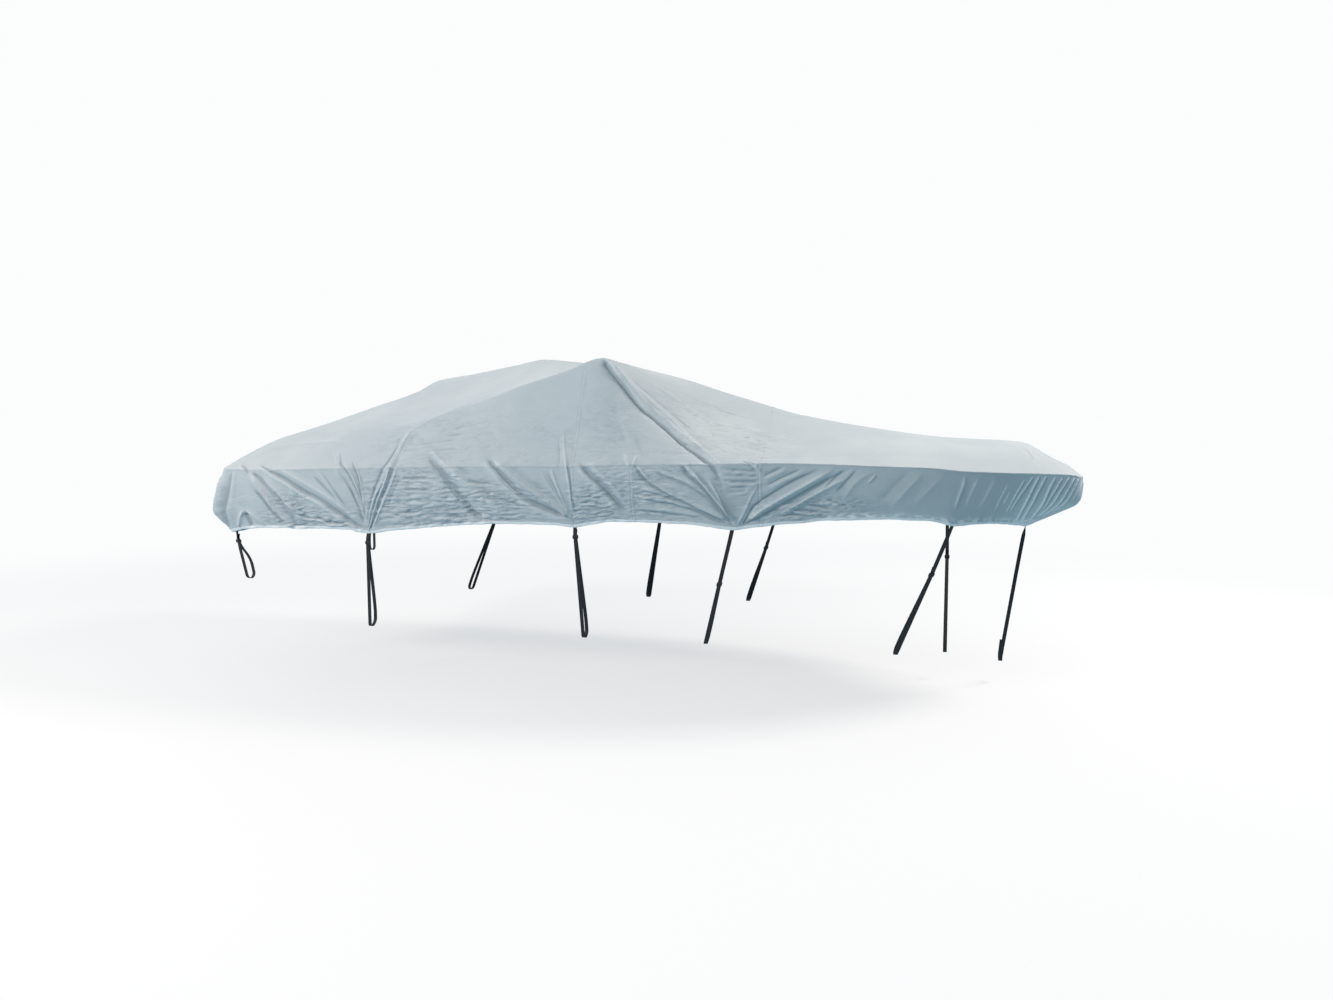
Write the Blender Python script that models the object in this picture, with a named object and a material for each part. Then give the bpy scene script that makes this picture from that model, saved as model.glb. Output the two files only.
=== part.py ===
"""A fitted boat cover as it sits over an open runabout, with its tie-down straps.

The cloth is a 2 mm sheet: three top panels and six skirt panels, sewn edge to edge. All of them
are cut from one drawn surface, so that neighbours meet along their seams. The boat is not part
of the model, so the cover is hollow and open below.

Metres, +X to the bow, +Z up, -Y the starboard side. The origin is under the top, on the centre
line, where the pole inside the cockpit holds the cloth up.
"""
import bmesh
import bpy
import numpy as np
from mathutils import Vector

# ---------------------------------------------------------------- driving dimensions
CLOTH_THICK = 0.002       # one layer of coated polyester, with its seam allowance
SEAM_GAP = 0.0003         # between neighbouring pieces
SEAM_STEP = 0.00021       # each side of a seam stands back this far, a little over half the gap
WEBBING_WIDE = 0.025
WEBBING_THICK = 0.002
BEAM_DEEP = 0.080         # the loop at a strap's lower end was pulled round a beam this deep
STERN = -2.06             # the top's aft edge
BOW_TIP = 3.82            # the foremost point of the gunwale line

# The hull line that the cover is fitted to, from stern to bow.
# x, half breadth at the gunwale, gunwale height, hem height
HULL_COLUMNS = ("x", "half", "gunwale", "hem")
HULL = (
    (-2.06, 1.052, -0.793, -1.246),
    (-1.77, 1.092, -0.798, -1.212),
    (-1.42, 1.125, -0.788, -1.204),
    (-1.05, 1.150, -0.776, -1.196),
    (-0.87, 1.158, -0.772, -1.206),
    (-0.40, 1.173, -0.760, -1.164),
    (0.15, 1.180, -0.747, -1.124),
    (0.63, 1.182, -0.740, -1.122),
    (0.95, 1.178, -0.730, -1.090),
    (1.32, 1.160, -0.724, -1.096),
    (1.65, 1.132, -0.718, -1.122),
    (1.94, 1.098, -0.714, -1.094),
    (2.24, 1.040, -0.720, -1.064),
    (2.54, 0.960, -0.732, -1.060),
    (2.84, 0.856, -0.744, -1.074),
    (3.02, 0.772, -0.764, -1.100),
    (3.26, 0.632, -0.778, -1.104),
    (3.45, 0.470, -0.788, -1.122),
    (3.62, 0.325, -0.798, -1.140),
    (3.72, 0.225, -0.806, -1.152),
    (3.78, 0.145, -0.814, -1.160),
    (3.81, 0.080, -0.820, -1.164),
    (3.82, 0.000, -0.822, -1.165),
)

# How the top is held up across the boat: a shoulder on each side and a ridge between them.
# x, shoulder place as a share of the half breadth, shoulder height, ridge height, edge softness
TOP_COLUMNS = ("x", "share", "shoulder", "ridge", "soft")
TOP = (
    (-2.06, 0.62, -0.655, -0.570, 0.060),
    (-1.90, 0.62, -0.600, -0.495, 0.060),
    (-1.50, 0.66, -0.558, -0.365, 0.050),
    (-1.05, 0.74, -0.520, -0.225, 0.036),
    (-0.87, 0.78, -0.510, -0.140, 0.028),
    (-0.62, 0.80, -0.480, -0.110, 0.018),
    (-0.24, 0.76, -0.362, -0.048, 0.016),
    (0.00, 0.745, -0.285, 0.0053, 0.016),
    (0.20, 0.73, -0.212, -0.012, 0.014),
    (0.47, 0.70, -0.127, -0.040, 0.012),
    (0.723, 0.680, -0.040, -0.064, 0.012),
    (0.90, 0.735, -0.205, -0.106, 0.018),
    (1.14, 0.810, -0.420, -0.182, 0.022),
    (1.35, 0.890, -0.585, -0.252, 0.024),
    (1.57, 0.935, -0.668, -0.312, 0.024),
    (1.93, 0.800, -0.640, -0.404, 0.050),
    (2.35, 0.700, -0.600, -0.472, 0.060),
    (2.96, 0.640, -0.626, -0.547, 0.060),
    (3.38, 0.600, -0.650, -0.586, 0.050),
    (3.45, 0.600, -0.668, -0.602, 0.040),
    (3.61, 0.600, -0.722, -0.694, 0.020),
    (3.78, 0.600, -0.806, -0.784, 0.008),
    (3.82, 0.600, -0.822, -0.822, 0.004),
)
ROUNDING = 0.035          # half the length over which the rows above blend into each other
CORNER_X = 0.72           # the windscreen corners, where the top stands highest at the sides
CORNER_REACH = 0.30
PORT_CORNER_DROP = 0.032  # the port corner sits a little lower
SOFT_SHARE = 0.10         # a shoulder is no softer than this share of the crown's height
SOFT_LEAST = 0.0005
EDGE_FADE = 0.12          # the softness fades out over this share of the half breadth

# Where the seams cross the gunwale. The cross seams lean aft towards the ridge.
SEAM_AFT = 0.63
SEAM_SHORT = 1.02
SEAM_FORE = 1.82
SEAM_LEAN = 0.15          # how far, at the ridge
AFT_LEAN_REACH = 0.22     # the grid rows lean with a seam over this length either way
FORE_LEAN_REACH = 0.35
FORE_LEAN_SHARE = 0.6     # the fore seam leans less than the aft one
LEAN_POWER = 1.5          # most of the lean is near the ridge

# Grid rows between named places along the boat: from, to, number of rows.
ROWS = (
    (STERN, -1.93, 1),
    (-1.93, -0.87, 8),
    (-0.87, SEAM_AFT, 13),
    (SEAM_AFT, 0.723, 1),
    (0.723, SEAM_SHORT, 4),
    (SEAM_SHORT, 1.65, 8),
    (1.65, SEAM_FORE, 2),
    (SEAM_FORE, 2.98, 9),
    (2.98, 3.45, 4),
    (3.45, BOW_TIP, 5),
)
INNER_COLUMNS = 6         # from the ridge to the shoulder
OUTER_COLUMNS = 4         # from the shoulder to the gunwale
SKIRT_ROWS = 6

# The skirt's own form.
HEM_TUCK = 0.060          # the hem draws in under the gunwale
BOW_TUCK = 0.10           # and more so under the flare of the bow
NARROWEST = 0.15          # but never below this share of the gunwale's half breadth
HEM_ROUNDING = 0.012
HEM_CROWN = 0.020         # the stern hem is higher in the middle than at its corners
CORNER_ROUND = 0.02       # the length of the stern hem's corners
SIDE_BELLY = 0.018        # the side skirts stand out between gunwale and hem
STERN_BELLY = 0.085       # the stern skirt bellies out aft, low down
STERN_REACH = 0.25        # over this length of the sides too
BELLY_POWER = 1.5         # the lowest part bellies out most
STEM_BELLY = 0.145        # the bow skirt stands forward of a straight line to the hem
STEM_START = 3.4
STEM_REACH = 0.4
STEM_POWER = 1.15
STEM_RAKE = 0.345         # the hem lies this far aft of the gunwale at the stem
RAKE_START = 2.95         # and the rake begins here
RAKE_POWER = 1.6

# Main folds, each a soft ridge (height above 0) or trough along a line on one side.
FOLD_INNER = 0.25         # folds stay this far from the centre line
FOLD_END = 0.02           # the share of a fold's length that keeps some height past its end
# side, x and z at its upper end, x and z at its lower end, half width, height
FOLDS = (
    (-1, 0.75, -0.09, 1.50, -0.72, 0.045, -0.028),
    (-1, 0.80, -0.06, 1.58, -0.70, 0.040, 0.024),
    (-1, -0.60, -0.50, -0.86, -1.16, 0.035, 0.024),
    (-1, -0.74, -0.62, -0.98, -1.12, 0.040, -0.022),
    (-1, 0.02, -0.78, 0.30, -1.08, 0.050, -0.020),
    (-1, 0.36, -0.76, 0.60, -1.08, 0.050, -0.020),
    (-1, 1.05, -0.76, 1.60, -1.09, 0.045, -0.024),
    (-1, 1.30, -0.76, 1.62, -1.04, 0.040, 0.020),
    (-1, 2.10, -0.82, 1.72, -1.08, 0.045, 0.024),
    (-1, 2.45, -0.80, 1.90, -1.04, 0.045, -0.018),
    (-1, -1.66, -0.80, -1.00, -1.18, 0.050, 0.024),
    (-1, -1.84, -0.84, -1.40, -1.16, 0.045, -0.022),
    (-1, 3.12, -0.82, 3.02, -1.06, 0.040, 0.016),
    (-1, 3.40, -0.82, 3.22, -1.08, 0.040, -0.014),
    (1, 0.75, -0.12, 1.46, -0.72, 0.045, -0.026),
    (1, 0.82, -0.10, 1.54, -0.70, 0.040, 0.022),
    (1, -0.58, -0.52, -0.84, -1.14, 0.035, 0.022),
    (1, -0.30, -0.78, 0.10, -1.08, 0.050, -0.018),
    (1, 0.30, -0.78, 0.58, -1.06, 0.050, -0.018),
    (1, 1.16, -0.78, 1.60, -1.08, 0.045, -0.022),
    (1, 2.20, -0.82, 1.74, -1.08, 0.045, 0.022),
    (1, -1.60, -0.82, -1.04, -1.16, 0.050, 0.022),
    (1, 3.30, -0.84, 3.10, -1.08, 0.040, 0.014),
)

# Tie-down straps. Each runs straight from the hem, past its buckle, round where the beam was.
# name, hem x, buckle's share of the way down, the lower end as x, y (out to its own side), z
STRAP_COLUMNS = ("name", "hem_x", "buckle", "fx", "fy", "fz")
STRAPS = (
    ("stern", -2.06, 0.22, -2.005, 0.880, -1.580),
    ("aft", -0.87, 0.10, -1.020, 0.850, -1.900),
    ("middle", 0.63, 0.09, 0.588, 0.850, -1.895),
    ("fore", 1.65, 0.48, 1.436, 0.850, -1.890),
    ("quarter", 2.98, 0.37, 2.640, 0.350, -2.010),
)
PORT_QUARTER_FOOT = (2.960, 0.080, -2.060)    # the port one comes down to the tongue instead
BOW_STRAP_FOOT = (3.330, 0.0, -2.075)
STRAP_LEAD = Vector((0, 0, 0.012))            # a strap leaves the hem straight down
STRAP_PULL = 0.012        # each strap draws the hem down this much
PULL_REACH = 0.14         # over this length either way
HEM_CLEARANCE = 0.0004    # from the hem down to a strap's upper end
LOOP_STEPS = 5            # facets of the half turn where a strap went round the beam
BUCKLE_WIDE = 0.036
BUCKLE_TALL = 0.024
BUCKLE_BAR = 0.004
LAYER_PITCH = 0.0065      # between the two layers of webbing in a buckle
BUCKLE_RUN = 0.030        # webbing lies straight this far either side of a buckle
LOOP_RISE = 0.10          # a strap's return leg leaves the beam square over this length
TAIL_LONG = 0.050         # the free end stands this far above its buckle
TAIL_OUT = 0.012          # and bends this far off the webbing in front of it
BOW_TAIL = 0.01

CLOTH_GREY = (0.50, 0.56, 0.59, 1.0)
WEBBING_BLACK = (0.015, 0.015, 0.017, 1.0)
BUCKLE_BLACK = (0.022, 0.022, 0.024, 1.0)


# ---------------------------------------------------------------- the drawn surface
def column(rows, names, name):
    """One named column of a table."""
    return np.array([row[names.index(name)] for row in rows], dtype=float)


def read(rows, names, name, x, reach=0.0):
    """A column's value at x, averaged over a short reach so that the rows blend."""
    places = column(rows, names, "x")
    values = column(rows, names, name)
    steps = np.linspace(-reach, reach, 5)
    return np.mean([np.interp(x + step, places, values) for step in steps], axis=0)


def half_breadth(x):
    return read(HULL, HULL_COLUMNS, "half", x)


def gunwale_height(x):
    return read(HULL, HULL_COLUMNS, "gunwale", x, ROUNDING)


def top_height(x, y):
    """The top's height over a point of the plan: two slopes that meet in a soft shoulder."""
    breadth = np.maximum(half_breadth(x), 1e-4)
    gunwale = gunwale_height(x)
    shoulder_y = breadth * read(TOP, TOP_COLUMNS, "share", x, ROUNDING)
    shoulder = read(TOP, TOP_COLUMNS, "shoulder", x, ROUNDING)
    ridge = read(TOP, TOP_COLUMNS, "ridge", x, ROUNDING)
    soft = read(TOP, TOP_COLUMNS, "soft", x, ROUNDING)
    near_corner = np.exp(-((x - CORNER_X) / CORNER_REACH) ** 2)
    shoulder = shoulder - PORT_CORNER_DROP * near_corner * (y > 0)
    soft = np.minimum(soft, SOFT_SHARE * np.maximum(ridge - gunwale, 0) + SOFT_LEAST)
    out = np.sqrt(np.minimum(np.abs(y), breadth) ** 2 + soft ** 2) - soft * (1 - np.abs(y) / breadth)
    side = shoulder + (out - shoulder_y) * (gunwale - shoulder) / (breadth - shoulder_y)
    crown = ridge + out * (shoulder - ridge) / shoulder_y
    low = np.minimum(side, crown)
    rounding = soft * np.log(np.exp((low - side) / soft) + np.exp((low - crown) / soft))
    return low - rounding * np.clip((breadth - np.abs(y)) / (breadth * EDGE_FADE), 0, 1)


def lean_at(x):
    """How far a grid row leans aft at the ridge, so that the two cross seams do."""
    aft = np.exp(-((x - SEAM_AFT) / AFT_LEAN_REACH) ** 2)
    fore = FORE_LEAN_SHARE * np.exp(-((x - SEAM_FORE) / FORE_LEAN_REACH) ** 2)
    return -SEAM_LEAN * (aft + fore)


def across_steps():
    """Grid columns from one gunwale to the other: 1 is a shoulder, 2 a gunwale."""
    inner = np.linspace(0, 1, INNER_COLUMNS + 1)
    outer = np.linspace(1, 2, OUTER_COLUMNS + 1)[1:]
    half = np.concatenate([inner, outer])
    return np.concatenate([-half[:0:-1], half])


def share_at(x, step):
    """A grid column's share of the half breadth at a row."""
    shoulder = read(TOP, TOP_COLUMNS, "share", x, ROUNDING)
    size = np.abs(step)
    share = np.where(size < 1, size * shoulder, shoulder + (size - 1) * (1 - shoulder))
    return share * np.sign(step)


def top_point(x, share):
    """A point of the top, from its place along the gunwale and its share of the half breadth."""
    y = half_breadth(x) * share
    along = x + lean_at(x) * (1.0 - np.abs(share)) ** LEAN_POWER
    return np.stack([along, y, top_height(along, y)], axis=-1)


def hem_point(x, share):
    """A point of the hem, below the top's edge at the same place."""
    stern = np.clip((STERN + CORNER_ROUND - x) / CORNER_ROUND, 0, 1)
    raked = np.clip((x - RAKE_START) / (BOW_TIP - RAKE_START), 0, 1)
    breadth = half_breadth(x)
    tuck = HEM_TUCK + BOW_TUCK * raked * (1 - raked)
    narrow = np.maximum(breadth - tuck, NARROWEST * breadth)
    along = x - STEM_RAKE * raked ** RAKE_POWER + CORNER_ROUND * stern
    height = read(HULL, HULL_COLUMNS, "hem", x, HEM_ROUNDING)
    height = height + HEM_CROWN * stern * (1 - np.abs(share))
    for place in column(STRAPS, STRAP_COLUMNS, "hem_x"):
        height = height - STRAP_PULL * np.clip(1 - np.abs(x - place) / PULL_REACH, 0, 1)
    return np.stack([along, narrow * share, height], axis=-1)


def skirt_point(x, share, depth):
    """A point of the skirt: depth is 0 at the gunwale and 1 at the hem."""
    upper = top_point(x, share)
    lower = hem_point(x, share)
    point = upper + (lower - upper) * depth[..., None]
    belly = np.sin(np.pi * depth ** BELLY_POWER)
    across_stern = np.clip((STERN + STERN_REACH - x) / STERN_REACH, 0, 1) ** 2
    stem = np.clip((x - STEM_START) / STEM_REACH, 0, 1)
    nose = np.sin(np.pi * depth ** STEM_POWER) * stem ** BELLY_POWER
    point[..., 0] += STEM_BELLY * nose - STERN_BELLY * belly * across_stern
    point[..., 1] += SIDE_BELLY * np.sin(np.pi * depth) * np.sign(share) * (1 - stem)
    return point


def add_folds(points, normals):
    """Moves points of the sides along their normals, into the main folds."""
    lift = np.zeros(len(points))
    for side, x0, z0, x1, z1, wide, high in FOLDS:
        start = np.array([x0, z0])
        run = np.array([x1, z1]) - start
        flat = points[:, [0, 2]] - start
        along = np.clip(flat @ run / (run @ run), 0.0, 1.0)
        away = np.linalg.norm(flat - along[:, None] * run, axis=1)
        ends = np.sqrt(np.sin(np.pi * np.clip(along, FOLD_END, 1 - FOLD_END)))
        same_side = points[:, 1] * side > FOLD_INNER
        lift += high * ends * np.exp(-(away / wide) ** 2) * same_side
    return points + normals * lift[:, None]


# ---------------------------------------------------------------- the whole cloth, then its panels
def along_rows():
    """The places of the grid rows from stern to bow."""
    places = [STERN]
    for start, end, rows in ROWS:
        for step in range(1, rows + 1):
            share = step / rows
            if end == BOW_TIP:
                share = np.sin(share * np.pi / 2)
            places.append(start + (end - start) * share)
    return np.array(places)


def top_panel(x):
    """Which top panel a face at this place belongs to."""
    if x < SEAM_AFT:
        return "top_aft"
    if x < SEAM_FORE:
        return "top_middle"
    return "top_fore"


def skirt_panel(x, y):
    """Which skirt panel a face at this place belongs to."""
    side = "starboard" if y < 0 else "port"
    if x < SEAM_AFT:
        return "skirt_stern"
    if x < SEAM_SHORT:
        return "skirt_short_" + side
    if x < SEAM_FORE:
        return "skirt_long_" + side
    return "skirt_bow"


PANELS = (
    "top_aft", "top_middle", "top_fore", "skirt_stern", "skirt_short_starboard",
    "skirt_short_port", "skirt_long_starboard", "skirt_long_port", "skirt_bow",
)


def grid_indices(bm, columns, rows):
    """Each vertex of a fresh grid, with its column and row."""
    found = []
    for vert in bm.verts:
        i = round((vert.co.x + 1) / 2 * columns)
        j = round((vert.co.y + 1) / 2 * rows)
        found.append((vert, i, j))
    return found


def draw_top():
    """The top as one open sheet, its faces numbered by panel."""
    places = along_rows()
    steps = across_steps()
    bm = bmesh.new()
    bmesh.ops.create_grid(bm, x_segments=len(places) - 1, y_segments=len(steps) - 1, size=1)
    tag = bm.faces.layers.int.new("panel")
    for face in bm.faces:
        middle = face.calc_center_median()
        row = int((middle.x + 1) / 2 * (len(places) - 1))
        face[tag] = PANELS.index(top_panel((places[row] + places[row + 1]) / 2))
    for vert, i, j in grid_indices(bm, len(places) - 1, len(steps) - 1):
        vert.co = Vector(top_point(places[i], share_at(places[i], steps[j])))
    return bm


def ring_stations():
    """The top's edge in order: along starboard to the bow, back along port, then the stern."""
    places = along_rows()
    shares = [float(share_at(STERN, step)) for step in across_steps()]
    ring = [(x, -1.0) for x in places]
    ring += [(x, 1.0) for x in places[-2::-1]]
    ring += [(STERN, share) for share in shares[-2:0:-1]]
    return ring + [ring[0]]


def draw_skirt():
    """The skirt as one open ring, its faces numbered by panel."""
    ring = ring_stations()
    bm = bmesh.new()
    bmesh.ops.create_grid(bm, x_segments=len(ring) - 1, y_segments=SKIRT_ROWS, size=1)
    tag = bm.faces.layers.int.new("panel")
    for face in bm.faces:
        middle = face.calc_center_median()
        here = int((middle.x + 1) / 2 * (len(ring) - 1))
        first, second = ring[here], ring[here + 1]
        x = (first[0] + second[0]) / 2
        face[tag] = PANELS.index(skirt_panel(x, first[1] + second[1]))
    for vert, i, j in grid_indices(bm, len(ring) - 1, SKIRT_ROWS):
        x, share = ring[i]
        depth = np.array([1.0 - j / SKIRT_ROWS])
        vert.co = Vector(skirt_point(np.array([x]), np.array([share]), depth)[0])
    return bm


def draw_cloth():
    """The whole outer face of the cover, joined, with its folds."""
    whole = bpy.data.meshes.new("drawn")
    top = draw_top()
    top.to_mesh(whole)
    skirt = draw_skirt()
    skirt.from_mesh(whole)
    bmesh.ops.remove_doubles(skirt, verts=skirt.verts, dist=1e-5)
    bmesh.ops.dissolve_degenerate(skirt, dist=1e-6, edges=skirt.edges)
    bmesh.ops.recalc_face_normals(skirt, faces=skirt.faces)
    highest = max(skirt.faces, key=lambda face: face.calc_center_median().z)
    if highest.normal.z < 0:
        bmesh.ops.reverse_faces(skirt, faces=skirt.faces)
    skirt.normal_update()
    skirt.verts.ensure_lookup_table()
    points = np.array([vert.co for vert in skirt.verts])
    normals = np.array([vert.normal for vert in skirt.verts])
    for vert, point in zip(skirt.verts, add_folds(points, normals)):
        vert.co = Vector(point)
    skirt.normal_update()
    top.free()
    bpy.data.meshes.remove(whole)
    return skirt


def seam_step(vert, faces, tag):
    """How a vertex on a seam moves into its own panel, half the gap away from the seam."""
    own = faces[0][tag]
    inward = Vector()
    for edge in vert.link_edges:
        beside = [face[tag] for face in edge.link_faces]
        if own not in beside or len(set(beside)) < 2:
            continue
        face = next(face for face in edge.link_faces if face[tag] == own)
        middle = (edge.verts[0].co + edge.verts[1].co) / 2
        line = (edge.verts[1].co - edge.verts[0].co).normalized()
        step = face.calc_center_median() - middle
        inward += (step - line * step.dot(line)).normalized()
    if inward.length < 1e-6:
        return Vector()
    return inward.normalized() * SEAM_STEP


def cut_panel(cloth, name, material):
    """One panel as a closed sheet: its outer face, its inner face and the edges between."""
    tag = cloth.faces.layers.int["panel"]
    number = PANELS.index(name)
    faces = [face for face in cloth.faces if face[tag] == number]
    verts = list({vert for face in faces for vert in face.verts})
    sheet = bmesh.new()
    copies = {}
    inner = {}
    for vert in sorted(verts, key=lambda v: v.index):
        own = [face for face in vert.link_faces if face[tag] == number]
        place = vert.co + seam_step(vert, own, tag)
        copies[vert] = sheet.verts.new(place)
        inner[copies[vert]] = place - vert.normal * CLOTH_THICK
    for face in faces:
        sheet.faces.new([copies[vert] for vert in face.verts])
    outer = list(sheet.faces)
    grown = bmesh.ops.extrude_face_region(sheet, geom=outer, use_keep_orig=True)
    moved = [item for item in grown["geom"] if isinstance(item, bmesh.types.BMVert)]
    by_place = {tuple(round(c, 6) for c in vert.co): inner[vert] for vert in copies.values()}
    for vert in moved:
        vert.co = by_place[tuple(round(c, 6) for c in vert.co)]
    bmesh.ops.triangulate(sheet, faces=sheet.faces)
    return finish(sheet, name, material)


# ---------------------------------------------------------------- webbing and buckles
def finish(bm, name, material):
    """A closed mesh becomes a named object with its faces pointing out."""
    bmesh.ops.recalc_face_normals(bm, faces=bm.faces)
    if bm.calc_volume(signed=True) < 0:
        bmesh.ops.reverse_faces(bm, faces=bm.faces)
    mesh = bpy.data.meshes.new(name)
    bm.to_mesh(mesh)
    bm.free()
    mesh.materials.append(material)
    item = bpy.data.objects.new(name, mesh)
    bpy.context.collection.objects.link(item)
    return item


def band(name, path, material):
    """Flat webbing along a path. Its width always lies level, along the boat."""
    bm = bmesh.new()
    wide = Vector((WEBBING_WIDE / 2, 0, 0))
    sections = []
    for here, point in enumerate(path):
        before = path[max(here - 1, 0)]
        after = path[min(here + 1, len(path) - 1)]
        run = (after - before).normalized()
        face_out = Vector((1, 0, 0)).cross(run).normalized() * WEBBING_THICK / 2
        sections.append((point - wide - face_out, point + wide - face_out,
                         point + wide + face_out, point - wide + face_out))
    start = bm.faces.new([bm.verts.new(corner) for corner in sections[0]])
    edges = list(start.edges)
    last = list(start.verts)
    for section in sections[1:]:
        grown = bmesh.ops.extrude_edge_only(bm, edges=edges)["geom"]
        edges = [item for item in grown if isinstance(item, bmesh.types.BMEdge)]
        fresh = [item for item in grown if isinstance(item, bmesh.types.BMVert)]
        last = [min(fresh, key=lambda vert: (vert.co - old.co).length) for old in last]
        for vert, corner in zip(last, section):
            vert.co = corner
    bm.faces.new(last)
    bmesh.ops.triangulate(bm, faces=bm.faces)
    return finish(bm, name, material)


def arc(centre, start, across, steps):
    """Points of a half turn from start, by way of across."""
    points = []
    for step in range(1, steps):
        angle = np.pi * step / steps
        points.append(centre + start * np.cos(angle) + across * np.sin(angle))
    return points


def strap_lines(buckle, foot, side):
    """The direction down a strap, and the one from its outer face to the boat's middle."""
    down = (foot - buckle).normalized()
    inward = Vector((1, 0, 0)).cross(down).normalized()
    if inward.y * side > 0:
        inward = -inward
    return down, inward


def strap_path(top, buckle, foot, side):
    """From the hem past the buckle, down, round where the beam was and back up to the buckle."""
    down, inward = strap_lines(buckle, foot, side)
    half = inward * BEAM_DEEP / 2
    back = buckle + inward * LAYER_PITCH
    path = [top, top - STRAP_LEAD, buckle - down * BUCKLE_RUN, buckle + down * BUCKLE_RUN, foot]
    path += arc(foot + half, -half, down * BEAM_DEEP / 2, LOOP_STEPS)
    path += [foot + 2 * half, foot + 2 * half - down * LOOP_RISE, back + down * BUCKLE_RUN]
    path += [back - down * BUCKLE_TALL, back - down * BUCKLE_RUN + inward * WEBBING_THICK]
    path += [back - down * TAIL_LONG + inward * TAIL_OUT]
    return path


def buckle_frame(name, buckle, foot, side, material):
    """A flat frame that both layers of webbing pass through."""
    down, inward = strap_lines(buckle, foot, side)
    bm = bmesh.new()
    bmesh.ops.create_cube(bm, size=1)
    deep = LAYER_PITCH + WEBBING_THICK + 2 * SEAM_GAP + 2 * BUCKLE_BAR
    for vert in bm.verts:
        vert.co = Vector((vert.co.x * BUCKLE_WIDE, vert.co.y * deep, vert.co.z * BUCKLE_TALL))
    ends = [face for face in bm.faces if abs(face.normal.z) > 0.5]
    bmesh.ops.inset_individual(bm, faces=ends, thickness=BUCKLE_BAR, use_even_offset=True)
    rims = [edge for face in ends for edge in face.edges]
    bmesh.ops.delete(bm, geom=ends, context="FACES_ONLY")
    bmesh.ops.bridge_loops(bm, edges=rims)
    middle = buckle + inward * LAYER_PITCH / 2
    for vert in bm.verts:
        vert.co = middle + Vector((vert.co.x, 0, 0)) + inward * vert.co.y - down * vert.co.z
    bmesh.ops.triangulate(bm, faces=bm.faces)
    return finish(bm, name, material)


def hem_anchor(cloth, x, side):
    """Where a strap starts, just under the hem's nearest vertex."""
    wanted = Vector(hem_point(x, side))
    edge = [vert for vert in cloth.verts if vert.is_boundary]
    best = min(edge, key=lambda vert: (vert.co - wanted).length)
    middle = best.co - best.normal * CLOTH_THICK / 2
    return Vector((best.co.x, middle.y, best.co.z - HEM_CLEARANCE))


def build_straps(cloth, webbing, plastic):
    for side, label in ((-1, "starboard"), (1, "port")):
        for name, hem_x, share, fx, fy, fz in STRAPS:
            foot = Vector((fx, fy * side, fz))
            if name == "quarter" and side > 0:
                foot = Vector(PORT_QUARTER_FOOT)
            top = hem_anchor(cloth, hem_x, side)
            buckle = top.lerp(foot, share)
            band(f"strap_{name}_{label}", strap_path(top, buckle, foot, side), webbing)
            buckle_frame(f"buckle_{name}_{label}", buckle, foot, side, plastic)
    top = hem_anchor(cloth, BOW_TIP, -1)
    foot = Vector(BOW_STRAP_FOOT)
    half = Vector((0, BEAM_DEEP / 2, 0))
    path = [top, top - STRAP_LEAD, foot]
    path += arc(foot + half, -half, Vector((0, 0, -BEAM_DEEP / 2)), LOOP_STEPS)
    path += [foot + 2 * half, foot + 2 * half + Vector((BOW_TAIL, 0, LOOP_RISE))]
    band("strap_bow", path, webbing)


def paint(name, colour, roughness):
    material = bpy.data.materials.new(name)
    material.use_nodes = True
    shader = material.node_tree.nodes["Principled BSDF"]
    shader.inputs["Base Color"].default_value = colour
    shader.inputs["Roughness"].default_value = roughness
    shader.inputs["Metallic"].default_value = 0.0
    return material


def build():
    for item in list(bpy.data.objects):
        bpy.data.objects.remove(item)
    cloth = draw_cloth()
    cloth.verts.index_update()
    for name in PANELS:
        cut_panel(cloth, name, paint(name, CLOTH_GREY, 0.8))
    build_straps(cloth, paint("webbing", WEBBING_BLACK, 0.7), paint("buckle", BUCKLE_BLACK, 0.45))
    cloth.free()


build()
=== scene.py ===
# A fitted boat cover as it sits over an open runabout, held down by its webbing straps.
# Metres, +X to the bow, +Z up, -Y starboard. The origin is under the top, where a pole holds it up.
import bmesh
import bpy
import numpy as np
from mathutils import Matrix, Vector


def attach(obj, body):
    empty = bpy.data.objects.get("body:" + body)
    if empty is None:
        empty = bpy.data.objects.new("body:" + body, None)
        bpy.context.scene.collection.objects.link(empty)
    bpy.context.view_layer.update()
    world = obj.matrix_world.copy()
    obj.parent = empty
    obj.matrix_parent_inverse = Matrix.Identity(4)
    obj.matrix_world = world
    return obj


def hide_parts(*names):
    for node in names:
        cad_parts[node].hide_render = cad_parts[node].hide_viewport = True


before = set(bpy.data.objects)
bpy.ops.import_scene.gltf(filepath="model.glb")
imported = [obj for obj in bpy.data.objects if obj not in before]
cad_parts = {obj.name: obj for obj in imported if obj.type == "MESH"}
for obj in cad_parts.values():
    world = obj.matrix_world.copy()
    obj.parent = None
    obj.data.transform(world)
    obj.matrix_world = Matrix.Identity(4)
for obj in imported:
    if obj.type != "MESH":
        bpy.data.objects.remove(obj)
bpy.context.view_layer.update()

# The hull line that the cover fits, from stern to bow.
hullColumns = ("x", "half", "gunwale", "hem")
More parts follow.
